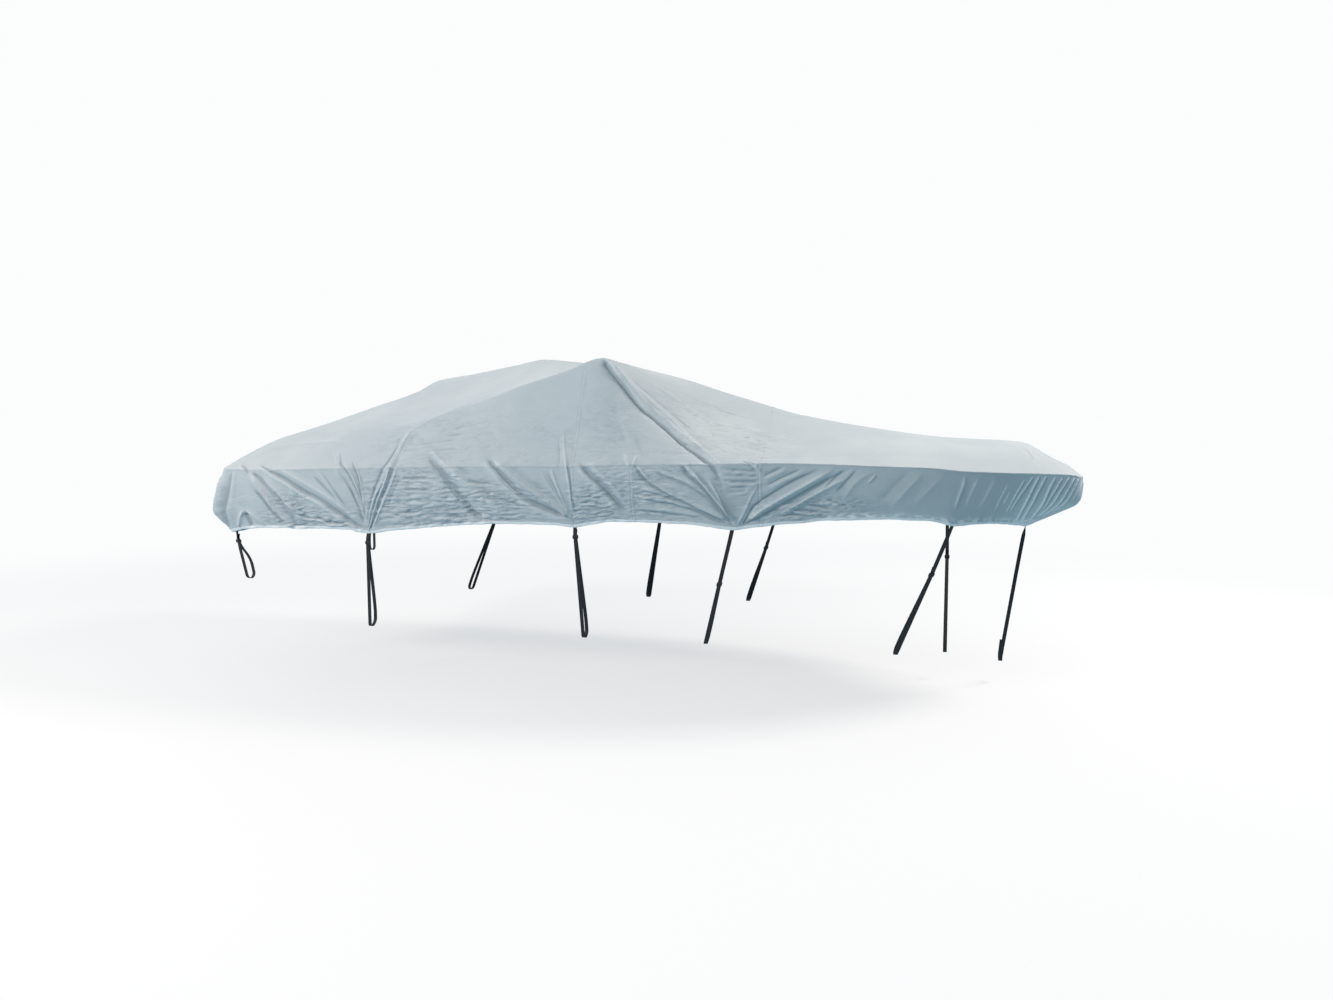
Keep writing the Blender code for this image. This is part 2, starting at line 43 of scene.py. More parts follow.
hullRows = (
    (-2.06, 1.052, -0.793, -1.246),
    (-1.77, 1.092, -0.798, -1.212),
    (-1.42, 1.125, -0.788, -1.204),
    (-1.05, 1.150, -0.776, -1.196),
    (-0.87, 1.158, -0.772, -1.206),
    (-0.40, 1.173, -0.760, -1.164),
    (0.15, 1.180, -0.747, -1.124),
    (0.63, 1.182, -0.740, -1.122),
    (0.95, 1.178, -0.730, -1.090),
    (1.32, 1.160, -0.724, -1.096),
    (1.65, 1.132, -0.718, -1.122),
    (1.94, 1.098, -0.714, -1.094),
    (2.24, 1.040, -0.720, -1.064),
    (2.54, 0.960, -0.732, -1.060),
    (2.84, 0.856, -0.744, -1.074),
    (3.02, 0.772, -0.764, -1.100),
    (3.26, 0.632, -0.778, -1.104),
    (3.45, 0.470, -0.788, -1.122),
    (3.62, 0.325, -0.798, -1.140),
    (3.72, 0.225, -0.806, -1.152),
    (3.78, 0.145, -0.814, -1.160),
    (3.81, 0.080, -0.820, -1.164),
    (3.817, 0.044, -0.8215, -1.1648),
    (3.8195, 0.018, -0.8219, -1.165),
    (3.82, 0.000, -0.822, -1.165),
)

# Across the top: a shoulder on each side of a ridge, and how softly the cloth turns at them.
topColumns = ("x", "share", "shoulder", "ridge", "soft")
topRows = (
    (-2.06, 0.62, -0.655, -0.570, 0.060),
    (-1.90, 0.62, -0.600, -0.495, 0.060),
    (-1.50, 0.66, -0.558, -0.365, 0.050),
    (-1.05, 0.74, -0.520, -0.225, 0.028),
    (-0.87, 0.78, -0.510, -0.140, 0.018),
    (-0.62, 0.80, -0.480, -0.102, 0.008),
    (-0.24, 0.76, -0.362, -0.036, 0.009),
    (0.00, 0.745, -0.285, 0.0053, 0.009),
    (0.20, 0.73, -0.212, -0.012, 0.009),
    (0.47, 0.70, -0.127, -0.040, 0.008),
    (0.723, 0.680, -0.040, -0.064, 0.008),
    (0.90, 0.735, -0.205, -0.104, 0.014),
    (1.14, 0.810, -0.420, -0.168, 0.022),
    (1.35, 0.890, -0.585, -0.238, 0.024),
    (1.57, 0.935, -0.668, -0.306, 0.024),
    (1.93, 0.800, -0.640, -0.408, 0.050),
    (2.35, 0.700, -0.604, -0.490, 0.060),
    (2.96, 0.640, -0.632, -0.570, 0.060),
    (3.38, 0.600, -0.652, -0.592, 0.050),
    (3.45, 0.600, -0.668, -0.604, 0.040),
    (3.61, 0.600, -0.722, -0.694, 0.020),
    (3.78, 0.600, -0.806, -0.784, 0.008),
    (3.82, 0.600, -0.822, -0.822, 0.004),
)

cut = {                       # where the cloth begins, ends and is sewn
    "stern": -2.06,
    "bowTip": 3.82,
    "bowStart": 2.0,          # forward of this the gunwale turns in
    "seamAft": 0.63,
    "seamShort": 1.02,
    "seamFore": 1.82,
    "sternCorner": 0.055,     # radius of the stern corners in plan
    "thick": 0.0018,
    "cell": 0.0046,           # grid spacing along the gunwale
    "inner": 76,              # grid steps from the ridge to the shoulder
    "outer": 62,              # and on to the gunwale
    "deep": 66,               # and down the skirt
    "drop": 0.42,             # the skirt's usual length, gunwale to hem
}

windscreen = {                # the far corner sits lower than the near one
    "x": 0.72,
    "reach": 0.30,
    "portDrop": 0.040,
}

topForm = {                   # how the top turns over the ridge and shoulders, and its seams
    "softest": 0.10,          # the soft turn's most, as a share of the ridge's height over the gunwale
    "least": 0.0005,
    "crispEdge": 0.12,        # no softness at the gunwale, over this share of the breadth
    "lean": 0.15,
    "leanAft": 0.22,          # how far along the boat the aft seam's lean reaches
    "leanFore": 0.35,
    "leanShare": 0.6,
}

skirt = {
    "tuck": 0.060,            # the hem draws in under the gunwale
    "bowTuck": 0.10,
    "narrowest": 0.15,        # the least of the gunwale's breadth that it keeps
    "sternIn": 0.02,          # the hem lies this far in across the stern
    "sternRise": 0.020,
    "sideBelly": 0.018,
    "sternBelly": 0.135,
    "sternLow": 0.68,         # how far down it stands out most
    "sternSoft": 0.05,
    "sternReach": 0.25,
    "stemBelly": 0.190,
    "stemLow": 0.55,
    "stemSoft": 0.20,
    "stemStart": 3.4,
    "stemReach": 0.4,
    "rake": 0.345,            # the hem lies this far aft of the gunwale at the stem
    "rakeStart": 2.95,
    "strapPull": 0.012,
    "pullReach": 0.14,
}

strapColumns = ("name", "hemX", "buckle", "x", "y", "z")
strapRows = (
    ("stern", -2.06, 0.22, -2.005, 0.880, -1.580),
    ("aft", -0.87, 0.10, -1.020, 0.850, -1.900),
    ("middle", 0.63, 0.09, 0.588, 0.850, -1.895),
    ("fore", 1.65, 0.48, 1.436, 0.850, -1.890),
    ("quarter", 2.98, 0.37, 2.640, 0.350, -2.010),
)


def column(rows, names, name):
    return np.array([row[names.index(name)] for row in rows], dtype=float)


def smoothRead(rows, names, name, x):
    # a smooth curve through a column's values that never swings past them
    places = column(rows, names, "x")
    values = column(rows, names, name)
    gaps = np.diff(places)
    rises = np.diff(values) / gaps
    product = rises[:-1] * rises[1:]
    both = np.where(product > 0, rises[:-1] + rises[1:], 1.0)
    inner = np.where(product > 0, 2 * product / both, 0.0)
    slopes = np.concatenate([rises[:1], inner, rises[-1:]])
    k = np.clip(np.searchsorted(places, x) - 1, 0, len(gaps) - 1)
    u = np.clip((x - places[k]) / gaps[k], 0, 1)
    start = values[k] * (1 + 2 * u) * (1 - u) ** 2 + values[k + 1] * u * u * (3 - 2 * u)
    return start + gaps[k] * (slopes[k] * u * (1 - u) ** 2 + slopes[k + 1] * u * u * (u - 1))


def hullAt(name, x):
    return smoothRead(hullRows, hullColumns, name, x)


def topAt(name, x):
    return smoothRead(topRows, topColumns, name, x)


def smoothStep(value):
    value = np.clip(value, 0, 1)
    return value * value * (3 - 2 * value)


def bell(value, width):
    return np.exp(-(value / width) ** 2)


def halfBreadth(x):
    radius = cut["sternCorner"]
    inside = np.clip(1 - (x - cut["stern"]) / radius, 0, 1)
    corner = radius * (1 - np.sqrt(np.maximum(1 - inside ** 2, 0)))
    return hullAt("half", x) - corner


sideLong = cut["bowTip"] - cut["stern"]
gunwalePlaces = cut["stern"] + sideLong * np.sin(np.linspace(0, np.pi / 2, 6001))
bowExtra = np.hypot(np.diff(gunwalePlaces), np.diff(halfBreadth(gunwalePlaces))) - np.diff(gunwalePlaces)
bowExtra = np.concatenate([[0], np.cumsum(bowExtra * (gunwalePlaces[1:] > cut["bowStart"]))])


def gunwaleRun(s):
    # distance along the gunwale, which grows faster than s where the bow turns in
    return s + np.interp(s, gunwalePlaces, bowExtra)


def topHeight(x, y):
    # two slopes that meet in a soft shoulder, on each side of a soft ridge
    breadth = np.maximum(halfBreadth(x), 1e-4)
    gunwale = hullAt("gunwale", x)
    shoulderY = breadth * topAt("share", x)
    ridge = topAt("ridge", x)
    farCorner = bell(x - windscreen["x"], windscreen["reach"]) * (y > 0)
    shoulder = topAt("shoulder", x) - windscreen["portDrop"] * farCorner
    softMost = topForm["softest"] * np.maximum(ridge - gunwale, 0) + topForm["least"]
    soft = np.minimum(topAt("soft", x), softMost)
    size = np.minimum(np.abs(y), breadth)
    turned = np.sqrt(breadth ** 2 + soft ** 2) - soft
    out = (np.sqrt(size ** 2 + soft ** 2) - soft) * breadth / turned
    side = shoulder + (out - shoulderY) * (gunwale - shoulder) / (breadth - shoulderY)
    crown = ridge + out * (shoulder - ridge) / shoulderY
    low = np.minimum(side, crown)
    rounding = soft * np.log(np.exp((low - side) / soft) + np.exp((low - crown) / soft))
    return low - rounding * np.clip((breadth - size) / (breadth * topForm["crispEdge"]), 0, 1)


def leanAt(x):
    # the cross seams lean aft towards the ridge, the fore one less
    aft = bell(x - cut["seamAft"], topForm["leanAft"])
    fore = topForm["leanShare"] * bell(x - cut["seamFore"], topForm["leanFore"])
    return -topForm["lean"] * (aft + fore)


def shareAt(x, step):
    # a grid column's share of the half breadth: 1 is the shoulder and 2 the gunwale
    shoulder = topAt("share", x)
    size = np.abs(step)
    share = np.where(size < 1, size * shoulder, shoulder + (size - 1) * (1 - shoulder))
    return share * np.sign(step)


def topPoint(x, share):
    y = halfBreadth(x) * share
    along = x + leanAt(x) * (1.0 - np.abs(share)) ** 1.5
    return np.stack([along, y, topHeight(along, y)], axis=-1)


def hemPoint(x, share):
    stern = np.clip((cut["stern"] + skirt["sternIn"] - x) / skirt["sternIn"], 0, 1)
    raked = np.clip((x - skirt["rakeStart"]) / (cut["bowTip"] - skirt["rakeStart"]), 0, 1)
    breadth = halfBreadth(x)
    tuck = skirt["tuck"] + skirt["bowTuck"] * raked * (1 - raked)
    narrow = np.maximum(breadth - tuck, skirt["narrowest"] * breadth)
    along = x - skirt["rake"] * raked ** 1.6 + skirt["sternIn"] * stern
    height = hullAt("hem", x) + skirt["sternRise"] * stern * (1 - np.abs(share))
    for place in column(strapRows, strapColumns, "hemX"):
        height = height - skirt["strapPull"] * np.clip(1 - np.abs(x - place) / skirt["pullReach"], 0, 1)
    return np.stack([along, narrow * share, height], axis=-1)


def tent(depth, peak, soft):
    # a straight rise and fall with a rounded top, 0 at both ends
    def rounded(rise, fall):
        return 0.5 * (rise + fall - np.sqrt((rise - fall) ** 2 + soft))

    ends = (1 - depth) * rounded(0, 1 / (1 - peak)) + depth * rounded(1 / peak, 0)
    return rounded(depth / peak, (1 - depth) / (1 - peak)) - ends


def skirtPoint(x, share, depth):
    # depth is 0 at the gunwale and 1 at the hem
    upper = topPoint(x, share)
    lower = hemPoint(x, share)
    point = upper + (lower - upper) * depth[..., None]
    belly = tent(depth, skirt["sternLow"], skirt["sternSoft"])
    acrossStern = np.clip((cut["stern"] + skirt["sternReach"] - x) / skirt["sternReach"], 0, 1) ** 2
    stem = np.clip((x - skirt["stemStart"]) / skirt["stemReach"], 0, 1)
    nose = tent(depth, skirt["stemLow"], skirt["stemSoft"]) * stem ** 1.5
    point[..., 0] += skirt["stemBelly"] * nose - skirt["sternBelly"] * belly * acrossStern
    point[..., 1] += skirt["sideBelly"] * np.sin(np.pi * depth) * np.sign(share) * (1 - stem)
    return point


def wander(u, v, seed):
    # a smooth uneven field, about -1 to 1, the same each run
    turns = np.random.default_rng(seed).random((64, 64)) * 2 * np.pi
    iu = np.floor(u).astype(int)
    iv = np.floor(v).astype(int)
    fu = u - iu
    fv = v - iv

    def corner(a, b):
        turn = turns[(iu + a) % 64, (iv + b) % 64]
        return np.cos(turn) * (fu - a) + np.sin(turn) * (fv - b)

    su = fu ** 3 * (fu * (fu * 6 - 15) + 10)
    sv = fv ** 3 * (fv * (fv * 6 - 15) + 10)
    low = corner(0, 0) * (1 - su) + corner(1, 0) * su
    high = corner(0, 1) * (1 - su) + corner(1, 1) * su
    return 1.5 * (low * (1 - sv) + high * sv)


def unit(vectors):
    length = np.linalg.norm(vectors, axis=-1, keepdims=True)
    return vectors / np.maximum(length, 1e-9)


# Folds drawn on the cloth, one row each. Paths run in metres: along the gunwale, then down from it.
# height mm, width mm at both ends, share of a roll beside it, fade at both ends, path
foldRows = (
    # the starboard stern corner
    (-4, 13, 15, -.5, .2, .1, ((-1.95, -.01), (-1.96, .1), (-1.97, .2), (-1.99, .3), (-2.02, .4))),
    (9, 20, 26, 0, .2, .1, ((-2.04, .03), (-2.05, .18), (-2.06, .3), (-2.07, .38))),
    (-6, 12, 12, .4, .3, .3, ((-1.93, -.065), (-1.86, -.03), (-1.8, .04))),
    (-9, 8, 11, .3, .2, .3, ((-1.76, .15), (-1.69, .225), (-1.64, .3), (-1.57, .37), (-1.5, .417))),
    (14, 22, 26, 0, .2, .1, ((-1.8, .03), (-1.73, .095), (-1.64, .21), (-1.53, .35), (-1.46, .42))),
    (-9, 12, 18, 0, .1, .4,
     ((-1.77, .02), (-1.7, .071), (-1.63, .129), (-1.55, .203), (-1.49, .285), (-1.41, .36))),
    (-10, 11, 15, .6, .25, .03,
     ((-1.81, -.091), (-1.7, -.038), (-1.6, .022), (-1.47, .084), (-1.34, .166), (-1.2, .226),
      (-1.09, .312), (-.94, .391))),
    (6, 22, 24, 0, .25, .1,
     ((-1.62, -.04), (-1.446, .04), (-1.303, .11), (-1.164, .185), (-1.04, .27), (-.915, .37))),
    (7, 32, 36, 0, .3, .2, ((-1.687, .058), (-1.58, .145), (-1.468, .254), (-1.38, .359))),
    (-4, 8, 9, .3, .2, .4, ((-1.264, .045), (-1.188, .114), (-1.113, .185), (-1.027, .267))),
    (-4, 8, 9, .3, .3, .3, ((-1.2, .01), (-1.121, .108), (-1.066, .198), (-.986, .296))),
    (-5, 5, 5, .6, .1, .1,
     ((-1.27, .335), (-1.25, .346), (-1.178, .388), (-1.15, .365), (-1.099, .392), (-1.015, .364),
      (-.986, .386))),
    (4, 14, 14, 0, .4, .4, ((-1.26, -.02), (-1.16, .08), (-1.07, .18))),
    (3, 12, 12, 0, .4, .3, ((-1.2, -.2), (-1.12, -.1), (-1.08, -.01))),
    (-3, 11, 11, 0, .4, .3, ((-1.13, -.18), (-1.07, -.08), (-1.03, 0))),
    (7, 9, 14, 0, .2, .2, ((-1.87, .285), (-1.91, .34), (-1.95, .41))),
    (6, 9, 14, 0, .2, .2, ((-1.86, .285), (-1.79, .34), (-1.71, .41))),
    (-9, 16, 22, 0, .1, .3, ((-1.865, .31), (-1.85, .36), (-1.83, .42))),
    (-5, 7, 7, .8, .2, .2, ((-1.42, .32), (-1.32, .354), (-1.22, .349), (-1.18, .388), (-1.02, .378))),
    (-5, 9, 9, .5, .3, .3, ((-1.52, .215), (-1.44, .25), (-1.41, .3), (-1.35, .3))),
    (4, 9, 9, 0, .3, .3, ((-1.5, .25), (-1.42, .285), (-1.36, .33))),
    (-5, 9, 10, .4, .2, .2, ((-1.6, .385), (-1.52, .375), (-1.45, .4), (-1.36, .4))),
    # the pull at the second strap
    (-5, 12, 9, 0, .1, .06,
     ((-.635, -.22), (-.66, -.13), (-.685, -.038), (-.73, .055), (-.78, .145), (-.83, .259), (-.865, .37))),
    (5, 10, 9, 0, .1, .06,
     ((-.605, -.27), (-.635, -.14), (-.665, 0), (-.715, .1), (-.77, .18), (-.82, .27), (-.862, .38))),
    (-4.5, 9, 8, 0, .1, .06,
     ((-.625, -.18), (-.65, -.037), (-.685, .042), (-.725, .122), (-.77, .203), (-.82, .312),
      (-.862, .39))),
    (5, 9, 8, 0, .08, .05,
     ((-.595, -.31), (-.61, -.2), (-.63, -.08), (-.66, .024), (-.7, .114), (-.75, .198), (-.81, .31),
      (-.86, .405))),
    (-5, 13, 9, 0, .3, .05,
     ((-.6, -.12), (-.625, 0), (-.665, .095), (-.72, .188), (-.79, .314), (-.85, .4))),
    (4, 9, 8, 0, .3, .1, ((-.585, -.05), (-.62, .06), (-.67, .155), (-.74, .27), (-.82, .38))),
    (-6, 9, 8, 0, .3, .15, ((-1.09, -.075), (-1, 0), (-.95, .079), (-.905, .17), (-.878, .27))),
    (6, 8, 8, 0, .3, .15, ((-1.06, -.09), (-.97, 0), (-.925, .08), (-.89, .17), (-.873, .28))),
    (-6, 9, 8, 0, .3, .1, ((-.99, -.085), (-.915, .013), (-.888, .103), (-.875, .21), (-.87, .32))),
    (4, 8, 8, 0, .3, .1, ((-.95, -.06), (-.89, .03), (-.875, .13), (-.87, .25))),
    (5, 8, 8, 0, .3, .15, ((-1.13, -.05), (-1.05, .03), (-.99, .12), (-.93, .23), (-.89, .34))),
    (-6, 26, 16, 0, .3, .1, ((-1.06, .02), (-.98, .12), (-.92, .24), (-.885, .36))),
    (-3, 16, 14, 0, .4, .3, ((-.55, .03), (-.62, .14), (-.7, .28))),
    (4, 20, 22, 0, .4, .3, ((-.6, -.35), (-.63, -.22), (-.65, -.09))),
    (-4, 14, 10, 0, .3, .1, ((-.98, .1), (-.93, .22), (-.89, .36))),
    # the edge of the near slope, down to its peak
    (3, 14, 12, 0, .3, .03,
     ((.02, -.69), (-.15, -.6), (-.28, -.52), (-.4, -.445), (-.5, -.375), (-.595, -.3))),
    (4, 42, 36, .5, .3, .35,
     ((-1.94, -.29), (-1.8, -.335), (-1.58, -.351), (-1.34, -.332), (-1.14, -.259), (-.99, -.175))),
    (-3, 9, 9, .6, .3, .3, ((-.32, -.289), (-.15, -.322), (.01, -.353))),
    (-3, 9, 9, .6, .3, .3, ((-.36, -.238), (-.2, -.256), (-.04, -.263))),
    (-2, 8, 8, .6, .3, .3, ((-.25, -.32), (-.15, -.346), (-.04, -.365))),
    (-2, 9, 9, .6, .3, .3, ((.04, -.185), (.13, -.19), (.22, -.178))),
    # the long slack folds amidships
    (-14, 30, 32, 0, .2, .15,
     ((-.4, -.08), (-.34, -.03), (-.28, .024), (-.2, .137), (-.127, .24), (-.068, .338), (.01, .395))),
    (-5, 7, 8, 0, .2, .1,
     ((-.31, .03), (-.235, .13), (-.165, .235), (-.1, .32), (-.02, .375), (.04, .395))),
    (10, 38, 44, 0, .2, .2,
     ((-.25, -.02), (-.205, .024), (-.11, .119), (0, .222), (.106, .314), (.175, .38))),
    (5, 11, 14, 0, .4, .2, ((-.42, -.16), (-.33, -.085), (-.25, -.01), (-.2, .04))),
    (-12, 18, 18, .3, .15, .1,
     ((.03, -.06), (.065, -.03), (.118, .02), (.195, .12), (.285, .215), (.39, .288), (.5, .335),
      (.58, .36))),
    (-5, 7, 7, 0, .2, .1, ((.13, .08), (.23, .19), (.34, .275), (.44, .32), (.56, .352))),
    (12, 24, 18, 0, .15, .06,
     ((.085, -.045), (.13, -.01), (.21, .052), (.31, .14), (.415, .213), (.51, .28), (.59, .35))),
    (4, 9, 8, 0, .2, .1, ((.493, .005), (.528, .114), (.569, .238), (.603, .33))),
    (4, 8, 7, 0, .3, .1, ((.565, -.15), (.6, 0), (.622, .164), (.63, .33))),
    (-3, 7, 6, 0, .2, .1, ((.605, -.06), (.618, .01), (.636, .151), (.645, .3))),
    (3, 9, 8, 0, .3, .2, ((.422, .029), (.473, .122), (.538, .225), (.597, .328))),
    (-3, 9, 8, 0, .3, .2, ((.46, .02), (.505, .12), (.555, .23), (.6, .33))),
    (-4, 7, 7, .8, .2, .3, ((.685, .217), (.765, .227), (.836, .254))),
    (-4, 7, 7, .8, .2, .3, ((.669, .256), (.75, .267), (.84, .293))),
    (-5, 9, 10, .9, .2, .2, ((-.4, .345), (-.28, .352), (-.14, .367))),
    (-4, 9, 9, .8, .2, .2, ((-.55, .15), (-.46, .155), (-.37, .163))),
    (-4, 9, 9, .8, .3, .2, ((-.12, .1), (-.02, .125), (.09, .13))),
    (-4, 8, 9, .8, .2, .3, ((.12, .24), (.2, .262), (.29, .3))),
    (-4, 9, 9, .8, .2, .2, ((-.62, .3), (-.5, .315), (-.43, .308))),
    (-3, 8, 8, .8, .2, .3, ((-.05, .22), (.05, .235), (.13, .262))),
    (-4, 8, 8, .8, .2, .3, ((-.57, .075), (-.47, .082), (-.36, .075))),
    (-3, 10, 10, .6, .3, .3, ((-.46, -.11), (-.32, -.135), (-.16, -.14))),
    (-3, 10, 10, .6, .3, .3, ((-.5, -.18), (-.33, -.2), (-.2, -.215))),
    (2, 9, 9, 0, .4, .1, ((.535, -.28), (.56, -.16), (.585, -.02))),
    (-2, 8, 8, 0, .4, .1, ((.505, -.24), (.53, -.13), (.555, -.01))),
    # under the windscreen corner
    (-2, 60, 66, 0, .3, .3, ((.78, -.62), (.83, -.496), (.88, -.32), (.96, -.165), (1.01, -.055))),
    (2, 24, 26, 0, .3, .3, ((.86, -.5), (.94, -.3), (1.01, -.13), (1.05, -.03))),
    (-2.5, 40, 40, 0, .4, .3, ((1, -.277), (1.04, -.151), (1.11, -.03))),
    (5, 9, 9, 0, .3, .3, ((.965, -.085), (1, -.02), (1.035, .035))),
    (5, 8, 8, 0, .3, .3, ((1.055, -.07), (1.045, -.02), (1.04, .03))),
    (-10, 13, 18, .5, .2, .2,
     ((.68, -.02), (.75, .069), (.82, .137), (.88, .217), (.94, .304), (.99, .351))),
    (7, 16, 18, 0, .3, .3, ((.7, -.04), (.76, 0), (.845, .075), (.925, .175), (.99, .293))),
    # the rolled fold that runs down from the windscreen corner
    (-22, 21, 18, -.01, .06, .22,
     ((.755, -.775), (.81, -.693), (.9, -.584), (1.02, -.436), (1.12, -.366), (1.22, -.279), (1.34, -.17),
      (1.45, -.085), (1.51, -.025), (1.552, .03), (1.575, .09), (1.6, .15))),
    (10, 9, 11, 0, .05, .28,
     ((.765, -.785), (.83, -.703), (.925, -.602), (1.045, -.47), (1.14, -.396), (1.245, -.305),
      (1.365, -.196), (1.475, -.11), (1.545, -.04), (1.585, .02))),
    (10, 22, 26, 0, .12, .35,
     ((.78, -.775), (.89, -.665), (1.02, -.548), (1.14, -.462), (1.27, -.335), (1.4, -.2), (1.5, -.1),
      (1.57, -.03))),
    (-5, 20, 30, .01, .2, .4,
     ((.84, -.88), (.93, -.76), (1.034, -.657), (1.14, -.565), (1.246, -.476), (1.387, -.33), (1.5, -.21))),
    (4, 22, 30, 0, .35, .45,
     ((.865, -1.05), (1, -.92), (1.167, -.8), (1.31, -.68), (1.45, -.56), (1.6, -.45))),
    (-3, 20, 26, 0, .4, .45, ((1.02, -1), (1.29, -.93), (1.5, -.86), (1.68, -.8), (1.87, -.75))),
    (-3, 8, 8, .6, .3, .3, ((1.73, -.42), (1.79, -.428), (1.85, -.41))),
    (-3, 9, 9, .6, .3, .3, ((1.36, -.6), (1.45, -.575), (1.52, -.585))),
    (5, 10, 10, 0, .3, .2, ((1.73, -.085), (1.77, -.03), (1.8, .02), (1.84, .055))),
    (-5, 10, 10, 0, .3, .2, ((1.71, -.06), (1.755, 0), (1.8, .05))),
    (-4, 9, 9, .8, .3, .1, ((1.58, .03), (1.7, .042), (1.815, .055))),
    (-4, 9, 9, .8, .3, .1, ((1.6, .075), (1.71, .078), (1.815, .085))),
    (-5, 9, 9, .8, .3, .1, ((1.61, .112), (1.71, .118), (1.812, .122))),
    (-4, 9, 9, .6, .3, .2, ((1.62, .148), (1.7, .15), (1.78, .148))),
    (-4, 9, 9, .6, .3, .2, ((1.62, .182), (1.69, .178), (1.75, .172))),
    (-3, 12, 12, .6, .3, .3, ((1.72, -.335), (1.8, -.375), (1.86, -.4))),
    (-3, 12, 12, .6, .3, .3, ((1.58, -.46), (1.66, -.445), (1.73, -.44))),
    (-3, 12, 12, .6, .3, .3, ((1.41, -.83), (1.5, -.845), (1.58, -.84))),
    (4, 30, 30, 0, .4, .4, ((1.62, -.62), (1.8, -.55), (1.98, -.5))),
    # the fan into the fore strap, from aft
    (-10, 9, 13, -.9, .15, .05,
     ((1.05, .01), (1.09, .077), (1.14, .132), (1.2, .18), (1.28, .232), (1.37, .277), (1.47, .325),
      (1.6, .375))),
    (-6, 10, 11, -.7, .2, .2, ((1.16, .045), (1.26, .092), (1.37, .14), (1.46, .195), (1.53, .255))),
    (-11, 12, 12, -.7, .2, .05,
     ((1.34, -.01), (1.39, .077), (1.46, .135), (1.53, .225), (1.585, .296), (1.645, .37))),
    (7, 12, 10, 0, .2, .05, ((1.4, .02), (1.48, .135), (1.575, .245), (1.645, .345))),
    (-5, 10, 12, -.8, .2, .05, ((1.08, .255), (1.26, .278), (1.39, .317), (1.56, .365))),
    (-5, 9, 10, -.8, .2, .2, ((1.08, .185), (1.22, .225), (1.34, .272))),
    (-4, 9, 10, -.8, .2, .1, ((1.04, .335), (1.25, .35), (1.45, .372))),
    (5, 12, 10, 0, .3, .05, ((1.5, .08), (1.57, .2), (1.63, .33))),
    (-4, 8, 8, .7, .2, .3, ((1.04, .115), (1.1, .118), (1.15, .115))),
    (-4, 8, 8, .7, .2, .3, ((1.04, .215), (1.11, .222), (1.17, .235))),
    # and from forward
    (3, 7, 7, 0, .05, .3, ((1.685, .385), (1.72, .33), (1.74, .285), (1.78, .203), (1.825, .13))),
    (-6.5, 10, 15, 0, .05, .3,
     ((1.72, .39), (1.75, .34), (1.79, .272), (1.9, .205), (2, .137), (2.1, .082), (2.2, .03))),
    (8, 15, 24, 0, .08, .3,
     ((1.76, .37), (1.81, .325), (1.93, .255), (2.07, .172), (2.18, .1), (2.28, .02))),
    (-7, 13, 20, 0, .06, .35,
     ((1.73, .395), (1.79, .37), (1.89, .322), (2.04, .24), (2.15, .165), (2.29, .074), (2.4, .005))),
    (6, 12, 18, 0, .2, .3, ((1.95, .345), (2.08, .27), (2.22, .18), (2.36, .085))),
    (-5, 11, 13, .5, .2, .3, ((1.845, .09), (1.9, .062), (1.98, .02))),
    (-5, 11, 13, .5, .2, .3, ((1.86, .155), (1.95, .105), (2.03, .065), (2.09, .035))),
    (-3, 34, 38, 0, .3, .3, ((2.72, .02), (2.62, .143), (2.53, .3))),
    (3, 30, 30, 0, .3, .3, ((2.8, .02), (2.68, .2), (2.6, .33))),
    (2, 26, 26, 0, .4, .4, ((2.93, .02), (2.81, .2), (2.72, .33))),
    (3, 26, 24, 0, .3, .3, ((2.52, .03), (2.43, .085), (2.36, .18), (2.31, .3))),
    (3, 6, 6, 0, .3, .3, ((2.515, .065), (2.49, .1), (2.465, .14))),
    (-3, 8, 8, .4, .3, .3, ((2.33, .03), (2.27, .1), (2.2, .2))),
    (-3, 9, 9, .4, .3, .3, ((2.41, .02), (2.34, .12), (2.27, .22))),
    (-5, 10, 10, .7, .2, .3, ((1.92, .372), (2, .358), (2.09, .372))),
    (-4, 9, 9, .7, .2, .3, ((2.02, .325), (2.1, .338), (2.19, .368))),
    (-4, 9, 9, .7, .2, .3, ((2.1, .295), (2.18, .315), (2.25, .345))),
    (-4, 9, 9, .7, .2, .3, ((2.22, .265), (2.29, .29), (2.36, .33))),
    # streaks and pleats round the bow
    (3.5, 12, 11, -.3, .3, .3, ((3.045, .02), (3.035, .07), (3.03, .116), (3.01, .18), (2.98, .31))),
    (3, 19, 16, 0, .35, .35, ((3.13, .03), (3.095, .13), (3.065, .22), (3.05, .31))),
    (3, 20, 16, 0, .35, .35, ((3.235, .02), (3.2, .155), (3.17, .248), (3.14, .31))),
    (4, 8, 7, 0, .35, .3, ((3.325, .07), (3.3, .19), (3.29, .277), (3.28, .34))),
    (4, 6, 6, 0, .4, .3, ((3.355, .13), (3.345, .2), (3.335, .27))),
    (4.5, 7, 7, -.8, .1, .1, ((3.425, .045), (3.415, .12), (3.405, .2), (3.395, .32))),
    (4.5, 9, 8, -.8, .1, .2, ((3.47, .02), (3.45, .135), (3.43, .23), (3.425, .32))),
    (6, 9, 9, -.8, .1, .1, ((3.507, .015), (3.5, .11), (3.5, .25), (3.52, .34), (3.54, .385))),
    (6, 9, 9, -.8, .1, .1, ((3.553, .015), (3.54, .13), (3.54, .25), (3.565, .33), (3.6, .38))),
    (5, 9, 9, -.8, .1, .1, ((3.615, .02), (3.6, .13), (3.605, .24), (3.64, .33), (3.69, .385))),
    (5, 8, 8, -.8, .1, .2, ((3.66, .025), (3.64, .12), (3.625, .21), (3.65, .31))),
